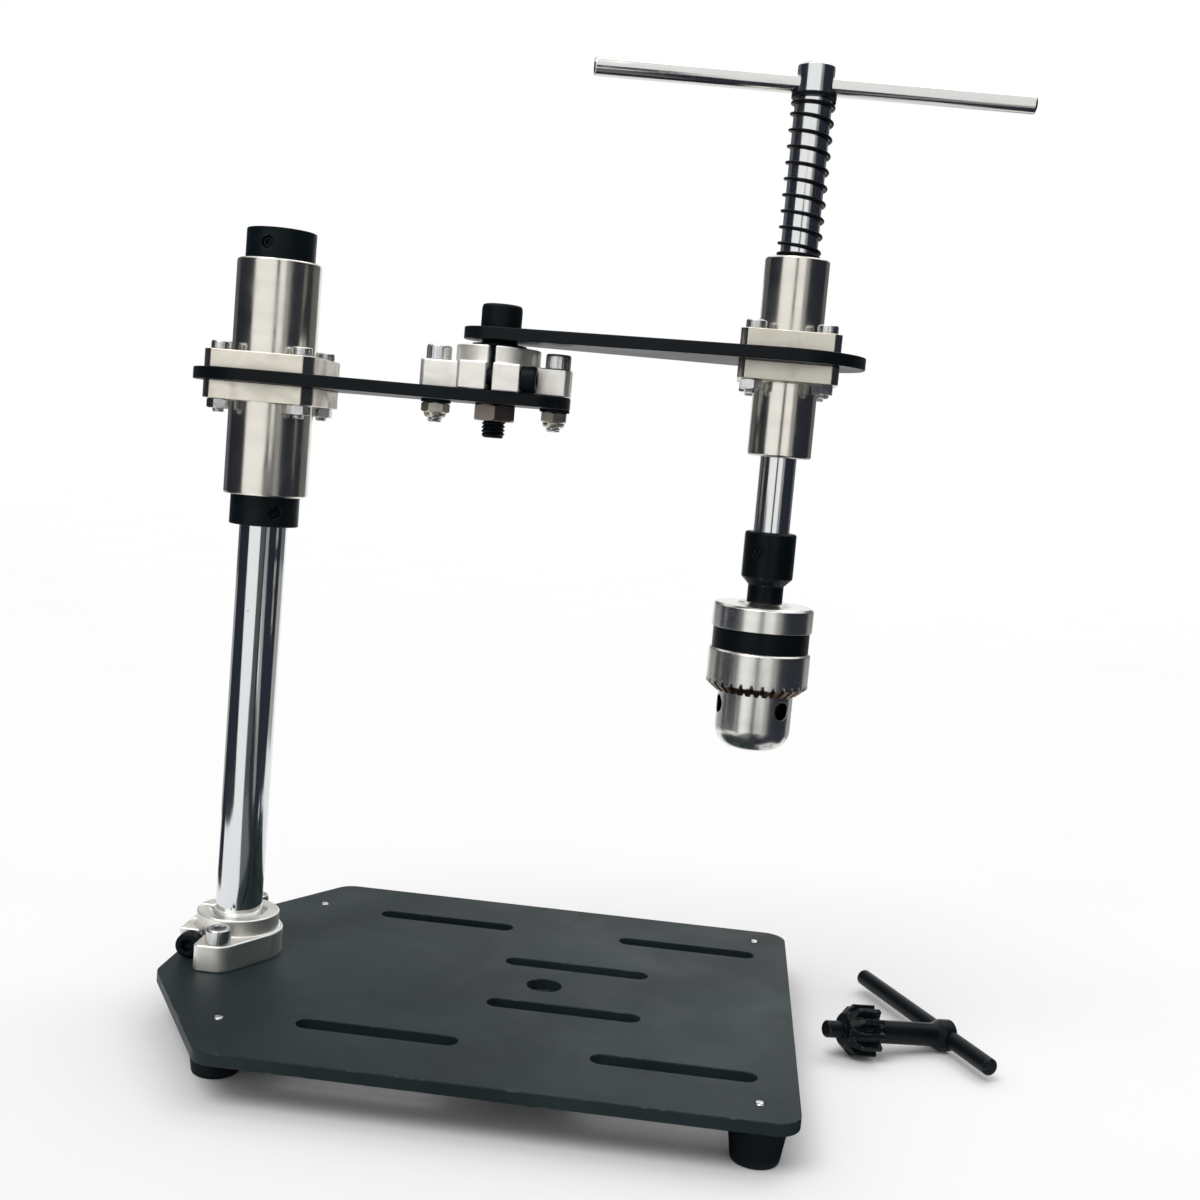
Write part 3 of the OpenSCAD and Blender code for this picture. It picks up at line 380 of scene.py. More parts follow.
def cap_screw(thread, head, shank):
    """Socket-head screw: head seat at the origin, knurled head towards +Z, shank below."""
    head_r = HEAD_RATIO * thread / 2
    ridges = 32
    ridge_depth = 0.022 * thread
    round_r = 0.12 * thread

    def knurl(angle):
        return head_r - ridge_depth * abs(2.0 * ((angle * ridges / WHOLE_TURN) % 1.0) - 1.0)

    threaded = min(shank * 0.8, THREADED_PITCHES * PITCH_RATIO * thread)
    rings = threaded_rings(thread, -shank, -shank + threaded)
    rings += [(thread / 2, -shank + threaded + 0.05 * thread), (thread / 2, -0.06 * thread)]
    rings += [(thread * 0.56, 0.0), (head_r - 0.08 * thread, 0.0), (knurl, 0.06 * thread)]
    rings += [(knurl, head - round_r * 1.6)]
    for step in range(4):
        lean = math.pi / 2 * step / 3
        inset = ridge_depth + round_r * (1.0 - math.cos(lean))
        rings.append((head_r - inset, head - round_r * (1.0 - math.sin(lean))))
    rings += socket_rings(SOCKET_RATIO * thread / 2, head, SOCKET_DEPTH * head)
    return turned("cap_screw", rings, around=3 * ridges)


def set_out_tree():
    """Puts a fastener at each given point, facing the point's direction and turned about it by chance."""
    tree = bpy.data.node_groups.new("fasteners_set_out", "GeometryNodeTree")
    tree.interface.new_socket("Places", in_out="INPUT", socket_type="NodeSocketGeometry")
    tree.interface.new_socket("Fastener", in_out="INPUT", socket_type="NodeSocketObject")
    tree.interface.new_socket("Seed", in_out="INPUT", socket_type="NodeSocketInt")
    tree.interface.new_socket("Finish", in_out="INPUT", socket_type="NodeSocketMaterial")
    tree.interface.new_socket("Geometry", in_out="OUTPUT", socket_type="NodeSocketGeometry")
    given = tree.nodes.new("NodeGroupInput").outputs
    shape = add_node(tree, "GeometryNodeObjectInfo", {"Object": given["Fastener"]}).outputs["Geometry"]
    facing = add_node(tree, "GeometryNodeInputNamedAttribute", {"Name": "facing"}, data_type="FLOAT_VECTOR")
    upright = add_node(
        tree, "FunctionNodeAlignRotationToVector", {"Vector": facing.outputs["Attribute"]}, axis="Z"
    )
    chance = add_node(tree, "FunctionNodeRandomValue", data_type="FLOAT")
    tree.links.new(given["Seed"], chance.inputs["Seed"])
    chance.inputs[3].default_value = WHOLE_TURN
    inputs = {"Axis": (0, 0, 1), "Angle": chance.outputs[1]}
    spin = add_node(tree, "FunctionNodeAxisAngleToRotation", inputs)
    turn = add_node(tree, "FunctionNodeRotateRotation", rotation_space="LOCAL")
    tree.links.new(upright.outputs["Rotation"], turn.inputs["Rotation"])
    tree.links.new(spin.outputs["Rotation"], turn.inputs["Rotate By"])
    copies = add_node(tree, "GeometryNodeInstanceOnPoints", {
        "Points": given["Places"], "Instance": shape, "Rotation": turn.outputs["Rotation"]
    })
    whole = add_node(tree, "GeometryNodeRealizeInstances", {"Geometry": copies.outputs["Instances"]})
    inputs = {"Geometry": whole.outputs["Geometry"], "Material": given["Finish"]}
    coated = add_node(tree, "GeometryNodeSetMaterial", inputs)
    tree.links.new(coated.outputs["Geometry"], tree.nodes.new("NodeGroupOutput").inputs["Geometry"])
    return tree


def grown(name, base, tree, inputs):
    """Object with the plain mesh that a tree makes from a base mesh."""
    piece = bpy.data.objects.new(name, base)
    bpy.context.scene.collection.objects.link(piece)
    modifier = piece.modifiers.new("tree", "NODES")
    modifier.node_group = tree
    for item in tree.interface.items_tree:
        if item.name in inputs:
            modifier[item.identifier] = inputs[item.name]
    bpy.context.view_layer.update()
    made = bpy.data.meshes.new_from_object(piece.evaluated_get(bpy.context.evaluated_depsgraph_get()))
    piece.modifiers.remove(modifier)
    piece.data = made
    made.name = name
    return piece


fasteners_set_out = set_out_tree()


def solid_boxes(node):
    """Low and high corner of each separate solid of a CAD node, in order of place."""
    shape = merged(node)
    shape.verts.ensure_lookup_table()
    shape.verts.index_update()
    seen = set()
    boxes = []
    for start in shape.verts:
        if start.index in seen:
            continue
        seen.add(start.index)
        island = [start]
        for vert in island:
            for edge in vert.link_edges:
                other = edge.other_vert(vert)
                if other.index not in seen:
                    seen.add(other.index)
                    island.append(other)
        corners = list(zip(*(vert.co for vert in island)))
        boxes.append((Vector(map(min, corners)), Vector(map(max, corners))))
    shape.free()
    return sorted(boxes, key=lambda box: [round(value, 5) for value in box[0]])


def set_out(node, template, places, finish, seed):
    """Finished piece for a node of like fasteners: the template at each point, facing its direction."""
    base = bpy.data.meshes.new(node + "_places")
    base.from_pydata([point for point, direction in places], [], [])
    facing = base.attributes.new("facing", "FLOAT_VECTOR", "POINT")
    facing.data.foreach_set("vector", [value for point, direction in places for value in direction])
    model = bpy.data.objects.new(node + "_model", template)
    bpy.context.scene.collection.objects.link(model)
    inputs = {"Fastener": model, "Seed": seed, "Finish": finish}
    piece = grown(node + "_finished", base, fasteners_set_out, inputs)
    bpy.data.objects.remove(model)
    return settle(piece, node)


def fit_screws(node, direction, head_share, finish, seed):
    """Socket-head screws in place of a node's plain ones, at their own size, heads in a direction."""
    direction = Vector(direction)
    boxes = solid_boxes(node)
    low, high = boxes[0]
    length = abs((high - low).dot(direction))
    thread = abs((high - low).dot(direction.yzx)) / HEAD_RATIO
    head = head_share * thread
    places = []
    for low, high in boxes:
        middle = (low + high) / 2
        places.append((middle + direction * (length / 2 - head), direction))
    return set_out(node, cap_screw(thread, head, length - head), places, finish, seed)


bright_zinc = metal_finish(
    "bright zinc plate", colour=(0.68, 0.69, 0.70), stain=(0.50, 0.49, 0.46), rough=0.24,
    grain_size=0.4, grain_depth=0.004 * MM
)
fit_screws("foot_screws", (0, 0, -1), LOW_HEAD, bright_zinc, seed=3)

# Column foot clamp
# A split shaft support of die-cast alloy, tumbled to a soft shine with rounded edges.
# It stands on the plate at the narrow end and grips the column's foot.

clamp_alloy = metal_finish(
    "tumbled cast alloy", colour=(0.95, 0.935, 0.875), stain=(0.80, 0.765, 0.67), rough=0.4,
    grain_size=0.9, grain_depth=0.02 * MM, reach=0.7
)
eased("column_foot_clamp", 0.55 * MM, clamp_alloy, steps=3)

# Bolts and clamping screw of the foot clamp
# Two zinc-plated socket-head bolts hold the clamp down through its ears, and a black-oxide
# socket-head screw across the slit pulls it tight on the column.

BLACK_SPECULAR = 0.11
OXIDE_RELIEF = 0.006 * MM


def black_finish(name, colour, worn, rough, reach):
    """Black-oxide steel: dark, a little oily, browner and brighter where its edges are rubbed."""
    made, tree, shader = new_finish(name, {"Specular IOR Level": BLACK_SPECULAR})
    here = surface_point(tree)
    grain = add_effect(tree, fine_grain, here, Size=0.3)
    smears = add_effect(tree, handling_marks, here, Size=11.0)["Mask"]
    wear = add_effect(tree, edge_wear, here, Size=1.2, Reach=reach)["Mask"]
    toned = tint(tree, grain["Tone"], colour, shade(colour, 1.7))
    roughness = mixed(tree, smears, rough, rough * 0.7)
    feed_shader(tree, shader, tint(tree, wear, toned, worn), roughness, grain["Height"], OXIDE_RELIEF)
    return made


black_oxide = black_finish(
    "black oxide", colour=(0.002, 0.0042, 0.0055), worn=(0.035, 0.034, 0.032), rough=0.42, reach=0.4
)
fit_screws("column_foot_bolts", (0, 0, 1), TALL_HEAD, bright_zinc, seed=5)
fit_screws("column_clamp_screw", (0, -1, 0), TALL_HEAD, black_oxide, seed=2)

# Column
# A hardened steel rod, ground and hard-chromed to a mirror, with chamfered ends.
# It stands in the foot clamp, and the arm slides and swings on it.

RUST = (0.42, 0.33, 0.24)
SPECK_SPACING = 3.0 * MM


def from_axis(tree, vector):
    """Distance from the local Z axis, and height along it."""
    parts = add_node(tree, "ShaderNodeSeparateXYZ", {"Vector": vector}).outputs
    flat = add_node(tree, "ShaderNodeCombineXYZ", {"X": parts["X"], "Y": parts["Y"]}).outputs["Vector"]
    radius = add_node(tree, "ShaderNodeVectorMath", {0: flat}, operation="LENGTH").outputs["Value"]
    return radius, parts["Z"]


def turning_effect():
    """Tool marks of a lathe about the local Z axis: lines along a wall, rings on an end face."""
    tree, given, result = effect("turning_marks", {"Pitch": 0.2}, ["Height", "Tone"])
    band_share = 0.05
    scale = per_metre(tree, given["Pitch"])
    radius, height = from_axis(tree, given["Vector"])
    along = add_node(tree, "ShaderNodeCombineXYZ", {"X": radius, "Y": height}).outputs["Vector"]
    tree.links.new(noise(tree, along, scale, detail=2.0, dimensions="2D"), result["Height"])
    bands = math_node(tree, "MULTIPLY", scale, band_share)
    tree.links.new(noise(tree, along, bands, detail=3.0, dimensions="2D"), result["Tone"])
    return tree


def axis_of(node):
    """Middle of a CAD node in plan, as a point on the floor."""
    low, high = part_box(node)
    return ((low.x + high.x) / 2, (low.y + high.y) / 2, 0.0)


turning_marks = turning_effect()


def chrome_finish(name, colour, rough, centre):
    """Ground and chromed rod: a mirror with faint grinding marks, smears and small specks of rust."""
    made, tree, shader = new_finish(name, {"Metallic": 1.0})
    here = surface_point(tree, centre)
    marks = add_effect(tree, turning_marks, here, Pitch=0.25)
    smears = add_effect(tree, handling_marks, here, Size=24.0)["Mask"]
    speck_start, speck_full, most_rust = 0.74, 0.8, 0.6
    spread = noise(tree, here, 1.0 / SPECK_SPACING, detail=3.0)
    specks = map_range(tree, spread, speck_start, speck_full, 0.0, most_rust)
    dulled = math_node(tree, "ADD", math_node(tree, "MULTIPLY", smears, 0.5), specks)
    roughness = mixed(tree, dulled, rough, rough + 0.14)
    feed_shader(tree, shader, tint(tree, specks, colour, RUST), roughness, marks["Height"], 0.0012 * MM)
    return made


column_axis = axis_of("column")
column_chrome = chrome_finish("column chrome", (0.74, 0.76, 0.77), 0.08, column_axis)
eased("column", 0.2 * MM, column_chrome)

# Collars and their set screws
# Two turned steel rings with a black-oxide finish, one under and one over the arm. A headless
# screw in the side of each ring holds it on the column.


def black_turned_finish(name, colour, worn, rough, centre):
    """Black-oxide steel that still shows the lathe's marks."""
    made, tree, shader = new_finish(name, {"Specular IOR Level": BLACK_SPECULAR})
    here = surface_point(tree, centre)
    marks = add_effect(tree, turning_marks, here, Pitch=0.18)
    smears = add_effect(tree, handling_marks, here, Size=12.0)["Mask"]
    wear = add_effect(tree, edge_wear, here, Size=1.4, Reach=0.4)["Mask"]
    toned = tint(tree, marks["Tone"], colour, shade(colour, 1.8))
    roughness = mixed(tree, smears, rough, rough * 0.72)
    feed_shader(tree, shader, tint(tree, wear, toned, worn), roughness, marks["Height"], OXIDE_RELIEF)
    return made


def set_screw(thread, length):
    """Headless screw: its socket end at the origin facing +Z, its cup point below."""
    flat = 0.25 * thread
    rings = threaded_rings(thread, -length, -0.08 * length)
    rings += [(thread * 0.44, -0.02 * length), (thread * 0.4, 0.0)]
    rings += socket_rings(flat, 0.0, 0.55 * length)
    return turned("set_screw", rings, around=72)


def fit_set_screws(node, axis, outer, length, finish, seed):
    """Headless screws in place of a node's plain ones, pointing out from an axis to an outer radius."""
    boxes = solid_boxes(node)
    thread = boxes[0][1].z - boxes[0][0].z
    places = []
    for low, high in boxes:
        middle = (low + high) / 2
        outward = Vector((middle.x - axis[0], middle.y - axis[1], 0.0)).normalized()
        seat = Vector((axis[0], axis[1], middle.z)) + outward * outer
        places.append((seat, outward))
    return set_out(node, set_screw(thread, length), places, finish, seed)


column_radius = (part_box("column")[1].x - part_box("column")[0].x) / 2
collar_screw_length = 2.4 * MM
collar_black = black_turned_finish(
    "black turned collar", (0.002, 0.0044, 0.0056), (0.035, 0.034, 0.034), 0.4, column_axis
)
for collar in ("lower_collar", "upper_collar"):
    eased(collar, 0.3 * MM, collar_black)
fit_set_screws(
    "collar_set_screws", column_axis, column_radius + collar_screw_length, collar_screw_length,
    black_oxide, seed=7
)

# Lower arm
# A flat steel link, cut to two round ends joined by tangents and coated in a smoother black than the plate.
# The column's bearings are bolted through its wide end and the elbow clamp to its narrow end.

arm_black = coat_finish(
    "gloss black coat", colour=(0.0015, 0.0032, 0.0045), worn=(0.03, 0.034, 0.038),
    grain_size=0.6, grain_depth=0.015 * MM, rough=0.42, shine=0.14, reach=0.3
)
eased("lower_arm_plate", 0.35 * MM, arm_black, steps=3)

# Column bearings
# Flanged linear ball bearings, one above and one below the arm: barrels of bearing steel with a
# ground, nickelled shine, and square satin flanges with turned corners.

BARREL_STEEL = (0.83, 0.80, 0.725)
BARREL_ROUGH = 0.17
BARREL_MARGIN = 0.2 * MM
TURNED_CORNER = 0.5


def barrel_finish(name, centre):
    """Nickelled bearing steel with the marks of grinding about an upright axis."""
    made, tree, shader = new_finish(name, {"Metallic": 1.0})
    here = surface_point(tree, centre)
    marks = add_effect(tree, turning_marks, here, Pitch=0.22)
    smears = add_effect(tree, handling_marks, here, Size=16.0)["Mask"]
    wear = add_effect(tree, edge_wear, here, Size=2.0, Reach=0.5)["Mask"]
    toned = tint(tree, marks["Tone"], BARREL_STEEL, shade(BARREL_STEEL, 0.86))
    edged = tint(tree, wear, toned, shade(BARREL_STEEL, 1.2))
    roughness = mixed(tree, smears, BARREL_ROUGH, BARREL_ROUGH * 1.5)
    feed_shader(tree, shader, edged, roughness, marks["Height"], 0.003 * MM)
    return made


def finish_flange(piece, barrel_r, axis, satin):
    """Gives a bearing's flange its satin finish: the faces that reach past the barrel, except the turned
    corners, which face neither along X nor along Y."""
    mesh = piece.data
    mesh.materials.append(satin)
    for face in mesh.polygons:
        points = [mesh.vertices[index].co for index in face.vertices]
        away = max(math.hypot(point.x - axis[0], point.y - axis[1]) for point in points)
        corner = min(abs(face.normal.x), abs(face.normal.y)) > TURNED_CORNER
        face.material_index = 1 if away > barrel_r + BARREL_MARGIN and not corner else 0


satin_flange = metal_finish(
    "satin flange", colour=(0.77, 0.735, 0.64), stain=(0.58, 0.54, 0.46), rough=0.36,
    grain_size=0.35, grain_depth=0.01 * MM
)
column_barrel = barrel_finish("column bearing barrel", column_axis)
column_barrel_r = 14.0 * MM
for bearing in ("column_bearing_upper", "column_bearing_lower"):
    finish_flange(eased(bearing, 0.3 * MM, column_barrel), column_barrel_r, column_axis, satin_flange)

# Inner pieces of the bearings
# Rows of polished balls run in green resin cages inside each shell, and a black rubber lip at each end
# wipes the rod.

ball_steel = metal_finish(
    "polished balls", colour=(0.75, 0.76, 0.77), stain=(0.6, 0.6, 0.6), rough=0.1,
    grain_size=0.3, grain_depth=0.001 * MM
)
cage_resin = coat_finish(
    "cage resin", colour=(0.035, 0.09, 0.07), worn=(0.06, 0.13, 0.1),
    grain_size=0.4, grain_depth=0.01 * MM, rough=0.45, shine=0.4, reach=0.3
)
seal_rubber = coat_finish(
    "seal rubber", colour=(0.005, 0.006, 0.007), worn=(0.015, 0.016, 0.018),
    grain_size=0.5, grain_depth=0.01 * MM, rough=0.6, shine=0.2, reach=0.3
)
for shaft in ("column", "spindle"):
    nodes[shaft + "_bearing_balls"].material_slots[0].material = ball_steel
    eased(shaft + "_bearing_cages", 0.12 * MM, cage_resin)
    eased(shaft + "_bearing_seals", 0.2 * MM, seal_rubber)

# Flange screws and nuts
# Four zinc-plated screws go down through both flanges and the arm between them, and plain
# hexagon nuts hold them from below.

NUT_RATIO = 1.65


def hex_nut(thread, height, crown):
    """Hexagon nut on z = 0 with chamfered corners; crown is the share of its height that is a round
    collar, as on a lock nut."""
    flat = NUT_RATIO * thread / 2
    corner = flat / math.cos(math.pi / 6)
    bore = thread * 0.505
    slope = math.tan(math.radians(30))
    chamfer_rings = 5
    body = height * (1.0 - crown)

    def chamfered(limit):
        sides = hexagon(flat)
        return lambda angle: min(sides(angle), limit)

    start = 0.97 * flat
    limits = [start + (corner - start) * step / chamfer_rings for step in range(chamfer_rings + 1)]
    rise = [(limit - limits[0]) * slope for limit in limits]
    rings = [(bore, 0.06 * thread), (bore * 1.12, 0.0), (flat * 0.93, 0.0)]
    rings += [(chamfered(limit), up) for limit, up in zip(limits, rise)]
    rings += [(chamfered(limit), body - up) for limit, up in zip(reversed(limits), reversed(rise))]
    if crown:
        dome = height - body
        rings += [(flat * 0.9, body + 0.1 * dome), (flat * 0.88, body + 0.5 * dome)]
        rings += [(flat * 0.8, body + 0.85 * dome), (flat * 0.7, height)]
        rings += [(bore * 1.1, height - 0.05 * dome)]
    else:
        rings += [(flat * 0.93, body), (bore * 1.12, body)]
    rings.append((bore, height - 0.06 * thread))
    return turned("hex_nut", rings, around=72, endless=True)


def fit_nuts(node, direction, crown, finish, seed):
    """Nuts in place of a node's plain ones, at their own size, with their crowns in a direction."""
    boxes = solid_boxes(node)
    low, high = boxes[0]
    height = high.z - low.z
    thread = (high.y - low.y) / NUT_RATIO
    places = []
    for low, high in boxes:
        middle = (low + high) / 2
        places.append((middle - Vector(direction) * height / 2, Vector(direction)))
    return set_out(node, hex_nut(thread, height, crown), places, finish, seed)


fit_screws("column_flange_screws", (0, 0, 1), LOW_HEAD, bright_zinc, seed=11)
fit_nuts("column_flange_nuts", (0, 0, -1), 0.0, bright_zinc, seed=12)

# Elbow clamp and its fasteners
# A second split clamp like the one at the column's foot, bolted on the arm's narrow end with pale
# lock nuts over black washers, and pulled tight on the pivot bush by a black screw.

pale_zinc = metal_finish(
    "pale zinc plate", colour=(0.68, 0.65, 0.56), stain=(0.5, 0.45, 0.34), rough=0.28,
    grain_size=0.4, grain_depth=0.004 * MM
)
eased("elbow_clamp", 0.55 * MM, clamp_alloy, steps=3)
fit_screws("elbow_clamp_screw", (1, 0, 0), TALL_HEAD, black_oxide, seed=13)
fit_screws("elbow_clamp_bolts", (0, 0, 1), TALL_HEAD, bright_zinc, seed=14)
eased("elbow_clamp_washers", 0.15 * MM, black_oxide)
fit_nuts("elbow_clamp_nuts", (0, 0, -1), 0.34, pale_zinc, seed=15)

# Pivot bush, bolt and nut
# A turned black bush sits in the elbow clamp, and the upper arm turns on its neck. A black-oxide
# socket-head bolt goes down through both arms to a browned hexagon nut.

browned_steel = metal_finish(
    "browned steel", colour=(0.32, 0.28, 0.25), stain=(0.14, 0.08, 0.055), rough=0.34,
    grain_size=0.6, grain_depth=0.008 * MM
)
eased("pivot_bush", 0.2 * MM, black_oxide)
fit_screws("pivot_bolt", (0, 0, 1), TALL_HEAD, black_oxide, seed=16)
fit_nuts("pivot_nut", (0, 0, -1), 0.0, browned_steel, seed=20)

# Upper arm
# A second flat link with the same black coat, its narrow end on the pivot bolt. It carries the
# spindle's two bearings in its wide end.

eased("upper_arm_plate", 0.35 * MM, arm_black, steps=3)

# Spindle bearings and their screws
# Smaller flanged linear ball bearings of the same make, above and below the upper arm, held
# together through the arm by four zinc-plated screws and nuts.

spindle_axis = axis_of("spindle_shaft")
spindle_barrel = barrel_finish("spindle bearing barrel", spindle_axis)
spindle_barrel_r = 10.5 * MM
for bearing in ("spindle_bearing_upper", "spindle_bearing_lower"):
    finish_flange(eased(bearing, 0.3 * MM, spindle_barrel), spindle_barrel_r, spindle_axis, satin_flange)
fit_screws("spindle_flange_screws", (0, 0, 1), LOW_HEAD, bright_zinc, seed=21)
fit_nuts("spindle_flange_nuts", (0, 0, -1), 0.0, bright_zinc, seed=22)

# Return spring and washer
# A left-hand coil of black spring wire with a closed turn at each end, over the spindle. It stands on
# the upper bearing and pushes a black washer up against the handle bar.

SPRING_TURNS = 9
END_TURN_GAP = 0.6 * MM
STEPS_PER_TURN = 40


def spring_tree():
    """Wire of a coil spring: closed end turns, open turns between them, wound left-handed."""
    tree = bpy.data.node_groups.new("coil_spring", "GeometryNodeTree")
    for label in ("Wire", "Radius", "End pitch", "Pitch", "Turns", "Steps per turn"):
        tree.interface.new_socket(label, in_out="INPUT", socket_type="NodeSocketFloat")
    tree.interface.new_socket("Middle", in_out="INPUT", socket_type="NodeSocketVector")
    tree.interface.new_socket("Finish", in_out="INPUT", socket_type="NodeSocketMaterial")
    tree.interface.new_socket("Geometry", in_out="OUTPUT", socket_type="NodeSocketGeometry")
    given = tree.nodes.new("NodeGroupInput").outputs
    all_turns = math_node(tree, "ADD", given["Turns"], 2.0)
    steps = math_node(tree, "MULTIPLY", all_turns, given["Steps per turn"])
    count = math_node(tree, "ADD", steps, 1.0)
    row = add_node(tree, "GeometryNodeMeshLine", {"Count": count}).outputs["Mesh"]
    index = add_node(tree, "GeometryNodeInputIndex").outputs["Index"]
    turn = math_node(tree, "DIVIDE", index, given["Steps per turn"])
    first = math_node(tree, "MINIMUM", turn, 1.0)
    past = math_node(tree, "SUBTRACT", math_node(tree, "SUBTRACT", turn, given["Turns"]), 1.0)
    closed = math_node(tree, "ADD", first, math_node(tree, "MAXIMUM", past, 0.0))
    begun = math_node(tree, "MAXIMUM", math_node(tree, "SUBTRACT", turn, 1.0), 0.0)
    opened = math_node(tree, "MINIMUM", begun, given["Turns"])
    rise = math_node(tree, "ADD", math_node(tree, "MULTIPLY", closed, given["End pitch"]),
                     math_node(tree, "MULTIPLY", opened, given["Pitch"]))
    angle = math_node(tree, "MULTIPLY", turn, -WHOLE_TURN)
    across = math_node(tree, "MULTIPLY", math_node(tree, "COSINE", angle), given["Radius"])
    aside = math_node(tree, "MULTIPLY", math_node(tree, "SINE", angle), given["Radius"])
    point = add_node(tree, "ShaderNodeCombineXYZ", {"X": across, "Y": aside, "Z": rise}).outputs["Vector"]
    place = add_node(tree, "ShaderNodeVectorMath", {0: point, 1: given["Middle"]}, operation="ADD")
    bent = add_node(tree, "GeometryNodeSetPosition", {"Geometry": row, "Position": place.outputs["Vector"]})
    path = add_node(tree, "GeometryNodeMeshToCurve", {"Mesh": bent.outputs["Geometry"]}).outputs["Curve"]
    wire_radius = math_node(tree, "MULTIPLY", given["Wire"], 0.5)
    section = add_node(tree, "GeometryNodeCurvePrimitiveCircle", {"Resolution": 14, "Radius": wire_radius})
    inputs = {"Curve": path, "Profile Curve": section.outputs["Curve"], "Fill Caps": True}
    wire = add_node(tree, "GeometryNodeCurveToMesh", inputs).outputs["Mesh"]
    whole = add_node(tree, "GeometryNodeRealizeInstances", {"Geometry": wire}).outputs["Geometry"]
    coated = add_node(tree, "GeometryNodeSetMaterial", {"Geometry": whole, "Material": given["Finish"]})
    tree.links.new(coated.outputs["Geometry"], tree.nodes.new("NodeGroupOutput").inputs["Geometry"])
    return tree


spring_black = black_finish(
    "blackened spring wire", colour=(0.0015, 0.0026, 0.0034), worn=(0.03, 0.03, 0.03), rough=0.35, reach=0.3
)
spring_low, spring_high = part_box("return_spring")
spring_length = spring_high.z - spring_low.z
spring_wire = 1.1 * MM
spring_clearance = 0.1 * MM
spindle_radius = 6.0 * MM
end_pitch = spring_wire + END_TURN_GAP
spring_sizes = {
    "Wire": spring_wire,
    "Radius": spindle_radius + spring_clearance + spring_wire / 2,
    "End pitch": end_pitch,
    "Pitch": (spring_length - spring_wire - 2 * end_pitch) / SPRING_TURNS,
    "Turns": float(SPRING_TURNS),
    "Steps per turn": float(STEPS_PER_TURN),
    "Middle": (spindle_axis[0], spindle_axis[1], spring_low.z + spring_wire / 2),
    "Finish": spring_black,
}
spring = grown("return_spring_finished", bpy.data.meshes.new("spring_base"), spring_tree(), spring_sizes)
for face in spring.data.polygons:
    face.use_smooth = True
settle(spring, "return_spring")
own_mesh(spring)
eased("spring_washer", 0.15 * MM, black_oxide)

# Spindle and handle bar
# A ground and chromed rod that turns and slides in its bearings, cross-drilled at the top for the bar
# of the T-handle, which is bright drawn steel with chamfered ends.


def bar_finish(name, colour, rough, centre, turn):
    """Bright drawn steel with fine marks along a bar that is turned from X about Z."""
    made, tree, shader = new_finish(name, {"Metallic": 1.0})
    here = surface_point(tree, centre, (0, math.pi / 2, turn))
    marks = add_effect(tree, turning_marks, here, Pitch=0.3)
    smears = add_effect(tree, handling_marks, here, Size=14.0)["Mask"]
    toned = tint(tree, marks["Tone"], colour, shade(colour, 0.9))
    roughness = mixed(tree, smears, rough, rough * 1.7)
    feed_shader(tree, shader, toned, roughness, marks["Height"], 0.002 * MM)
    return made


spindle_chrome = chrome_finish("spindle chrome", (0.76, 0.77, 0.77), 0.13, spindle_axis)
bar_low, bar_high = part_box("handle_bar")
bar_turn = math.radians(5)
bar_steel = bar_finish("bright drawn bar", (0.74, 0.74, 0.72), 0.12, (bar_low + bar_high) / 2, bar_turn)
eased("spindle_shaft", 0.2 * MM, spindle_chrome)
eased("handle_bar", 0.25 * MM, bar_steel, steps=3)

# Chuck adapter and its set screw
# A turned black-oxide sleeve on the spindle's end, held by a headless screw. Its neck ends in the
# taper that the chuck is pressed on.

adapter_black = black_turned_finish(
    "black turned adapter", (0.0012, 0.0028, 0.004), (0.035, 0.034, 0.034), 0.36, spindle_axis
)
adapter_low, adapter_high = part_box("chuck_adapter")
adapter_radius = (adapter_high.x - adapter_low.x) / 2
screw_sink = 0.5 * MM
sunk_radius = adapter_radius - screw_sink
eased("chuck_adapter", 0.25 * MM, adapter_black)
fit_set_screws(
    "adapter_set_screw", spindle_axis, sunk_radius, sunk_radius - spindle_radius, black_oxide, seed=24
)

# Chuck
# A keyed three-jaw chuck: a turned and polished body and nose, a black band behind a steel sleeve with
# bevelled teeth that are brown with oil, a split nut inside, and three hardened jaws.

OLD_OIL = (0.125, 0.074, 0.038)
# Near-black colour painted in the chuck's holes as shade.
HOLE_SHADE = (0.03, 0.026, 0.022)
OIL_EDGE = 0.6 * MM
OIL_SPACING = 2.5 * MM
OIL_REACH = 1.6 * MM


def chuck_finish(name, colour, rough, centre, oily_below, hollow, hollow_low, hollow_high):
    """Turned chuck steel, brown with old oil below a height, and with painted shade: near black in the
    holes that lie nearer the axis than hollow between two heights, as shade where little light reaches."""
    made, tree, shader = new_finish(name, {"Metallic": 1.0})
    here = surface_point(tree, centre)
    marks = add_effect(tree, turning_marks, here, Pitch=0.16)
    smears = add_effect(tree, handling_marks, here, Size=10.0)["Mask"]
    wear = add_effect(tree, edge_wear, here, Size=1.2, Reach=0.6)["Mask"]
    toned = tint(tree, marks["Tone"], colour, shade(colour, 0.8))
    radius, height = from_axis(tree, here)
    within = map_range(tree, radius, hollow - 0.7 * MM, hollow - 0.2 * MM, 1.0, 0.0)
    between = math_node(tree, "MULTIPLY", math_node(tree, "GREATER_THAN", height, hollow_low),
                        math_node(tree, "LESS_THAN", height, hollow_high))
    hole_shade = math_node(tree, "MULTIPLY", within, between)
    blotch = math_node(tree, "MULTIPLY", noise(tree, here, 1.0 / OIL_SPACING, detail=3.0), OIL_REACH)
    level = math_node(tree, "ADD", height, blotch)
    oily = map_range(tree, level, oily_below, oily_below + OIL_EDGE, 1.0, 0.0)
    oiled = tint(tree, oily, tint(tree, wear, toned, shade(colour, 1.25)), OLD_OIL)
    # Painted shade: the holes and bore inside the nose are darkened, as shade where little light reaches.
    hole_shaded = tint(tree, hole_shade, oiled, HOLE_SHADE)
    dulled = math_node(tree, "ADD", math_node(tree, "MULTIPLY", smears, 0.4), oily)
    roughness = map_range(tree, dulled, 0.0, 1.4, rough, rough + 0.16)
    feed_shader(tree, shader, hole_shaded, roughness, marks["Height"], 0.005 * MM)
    return made


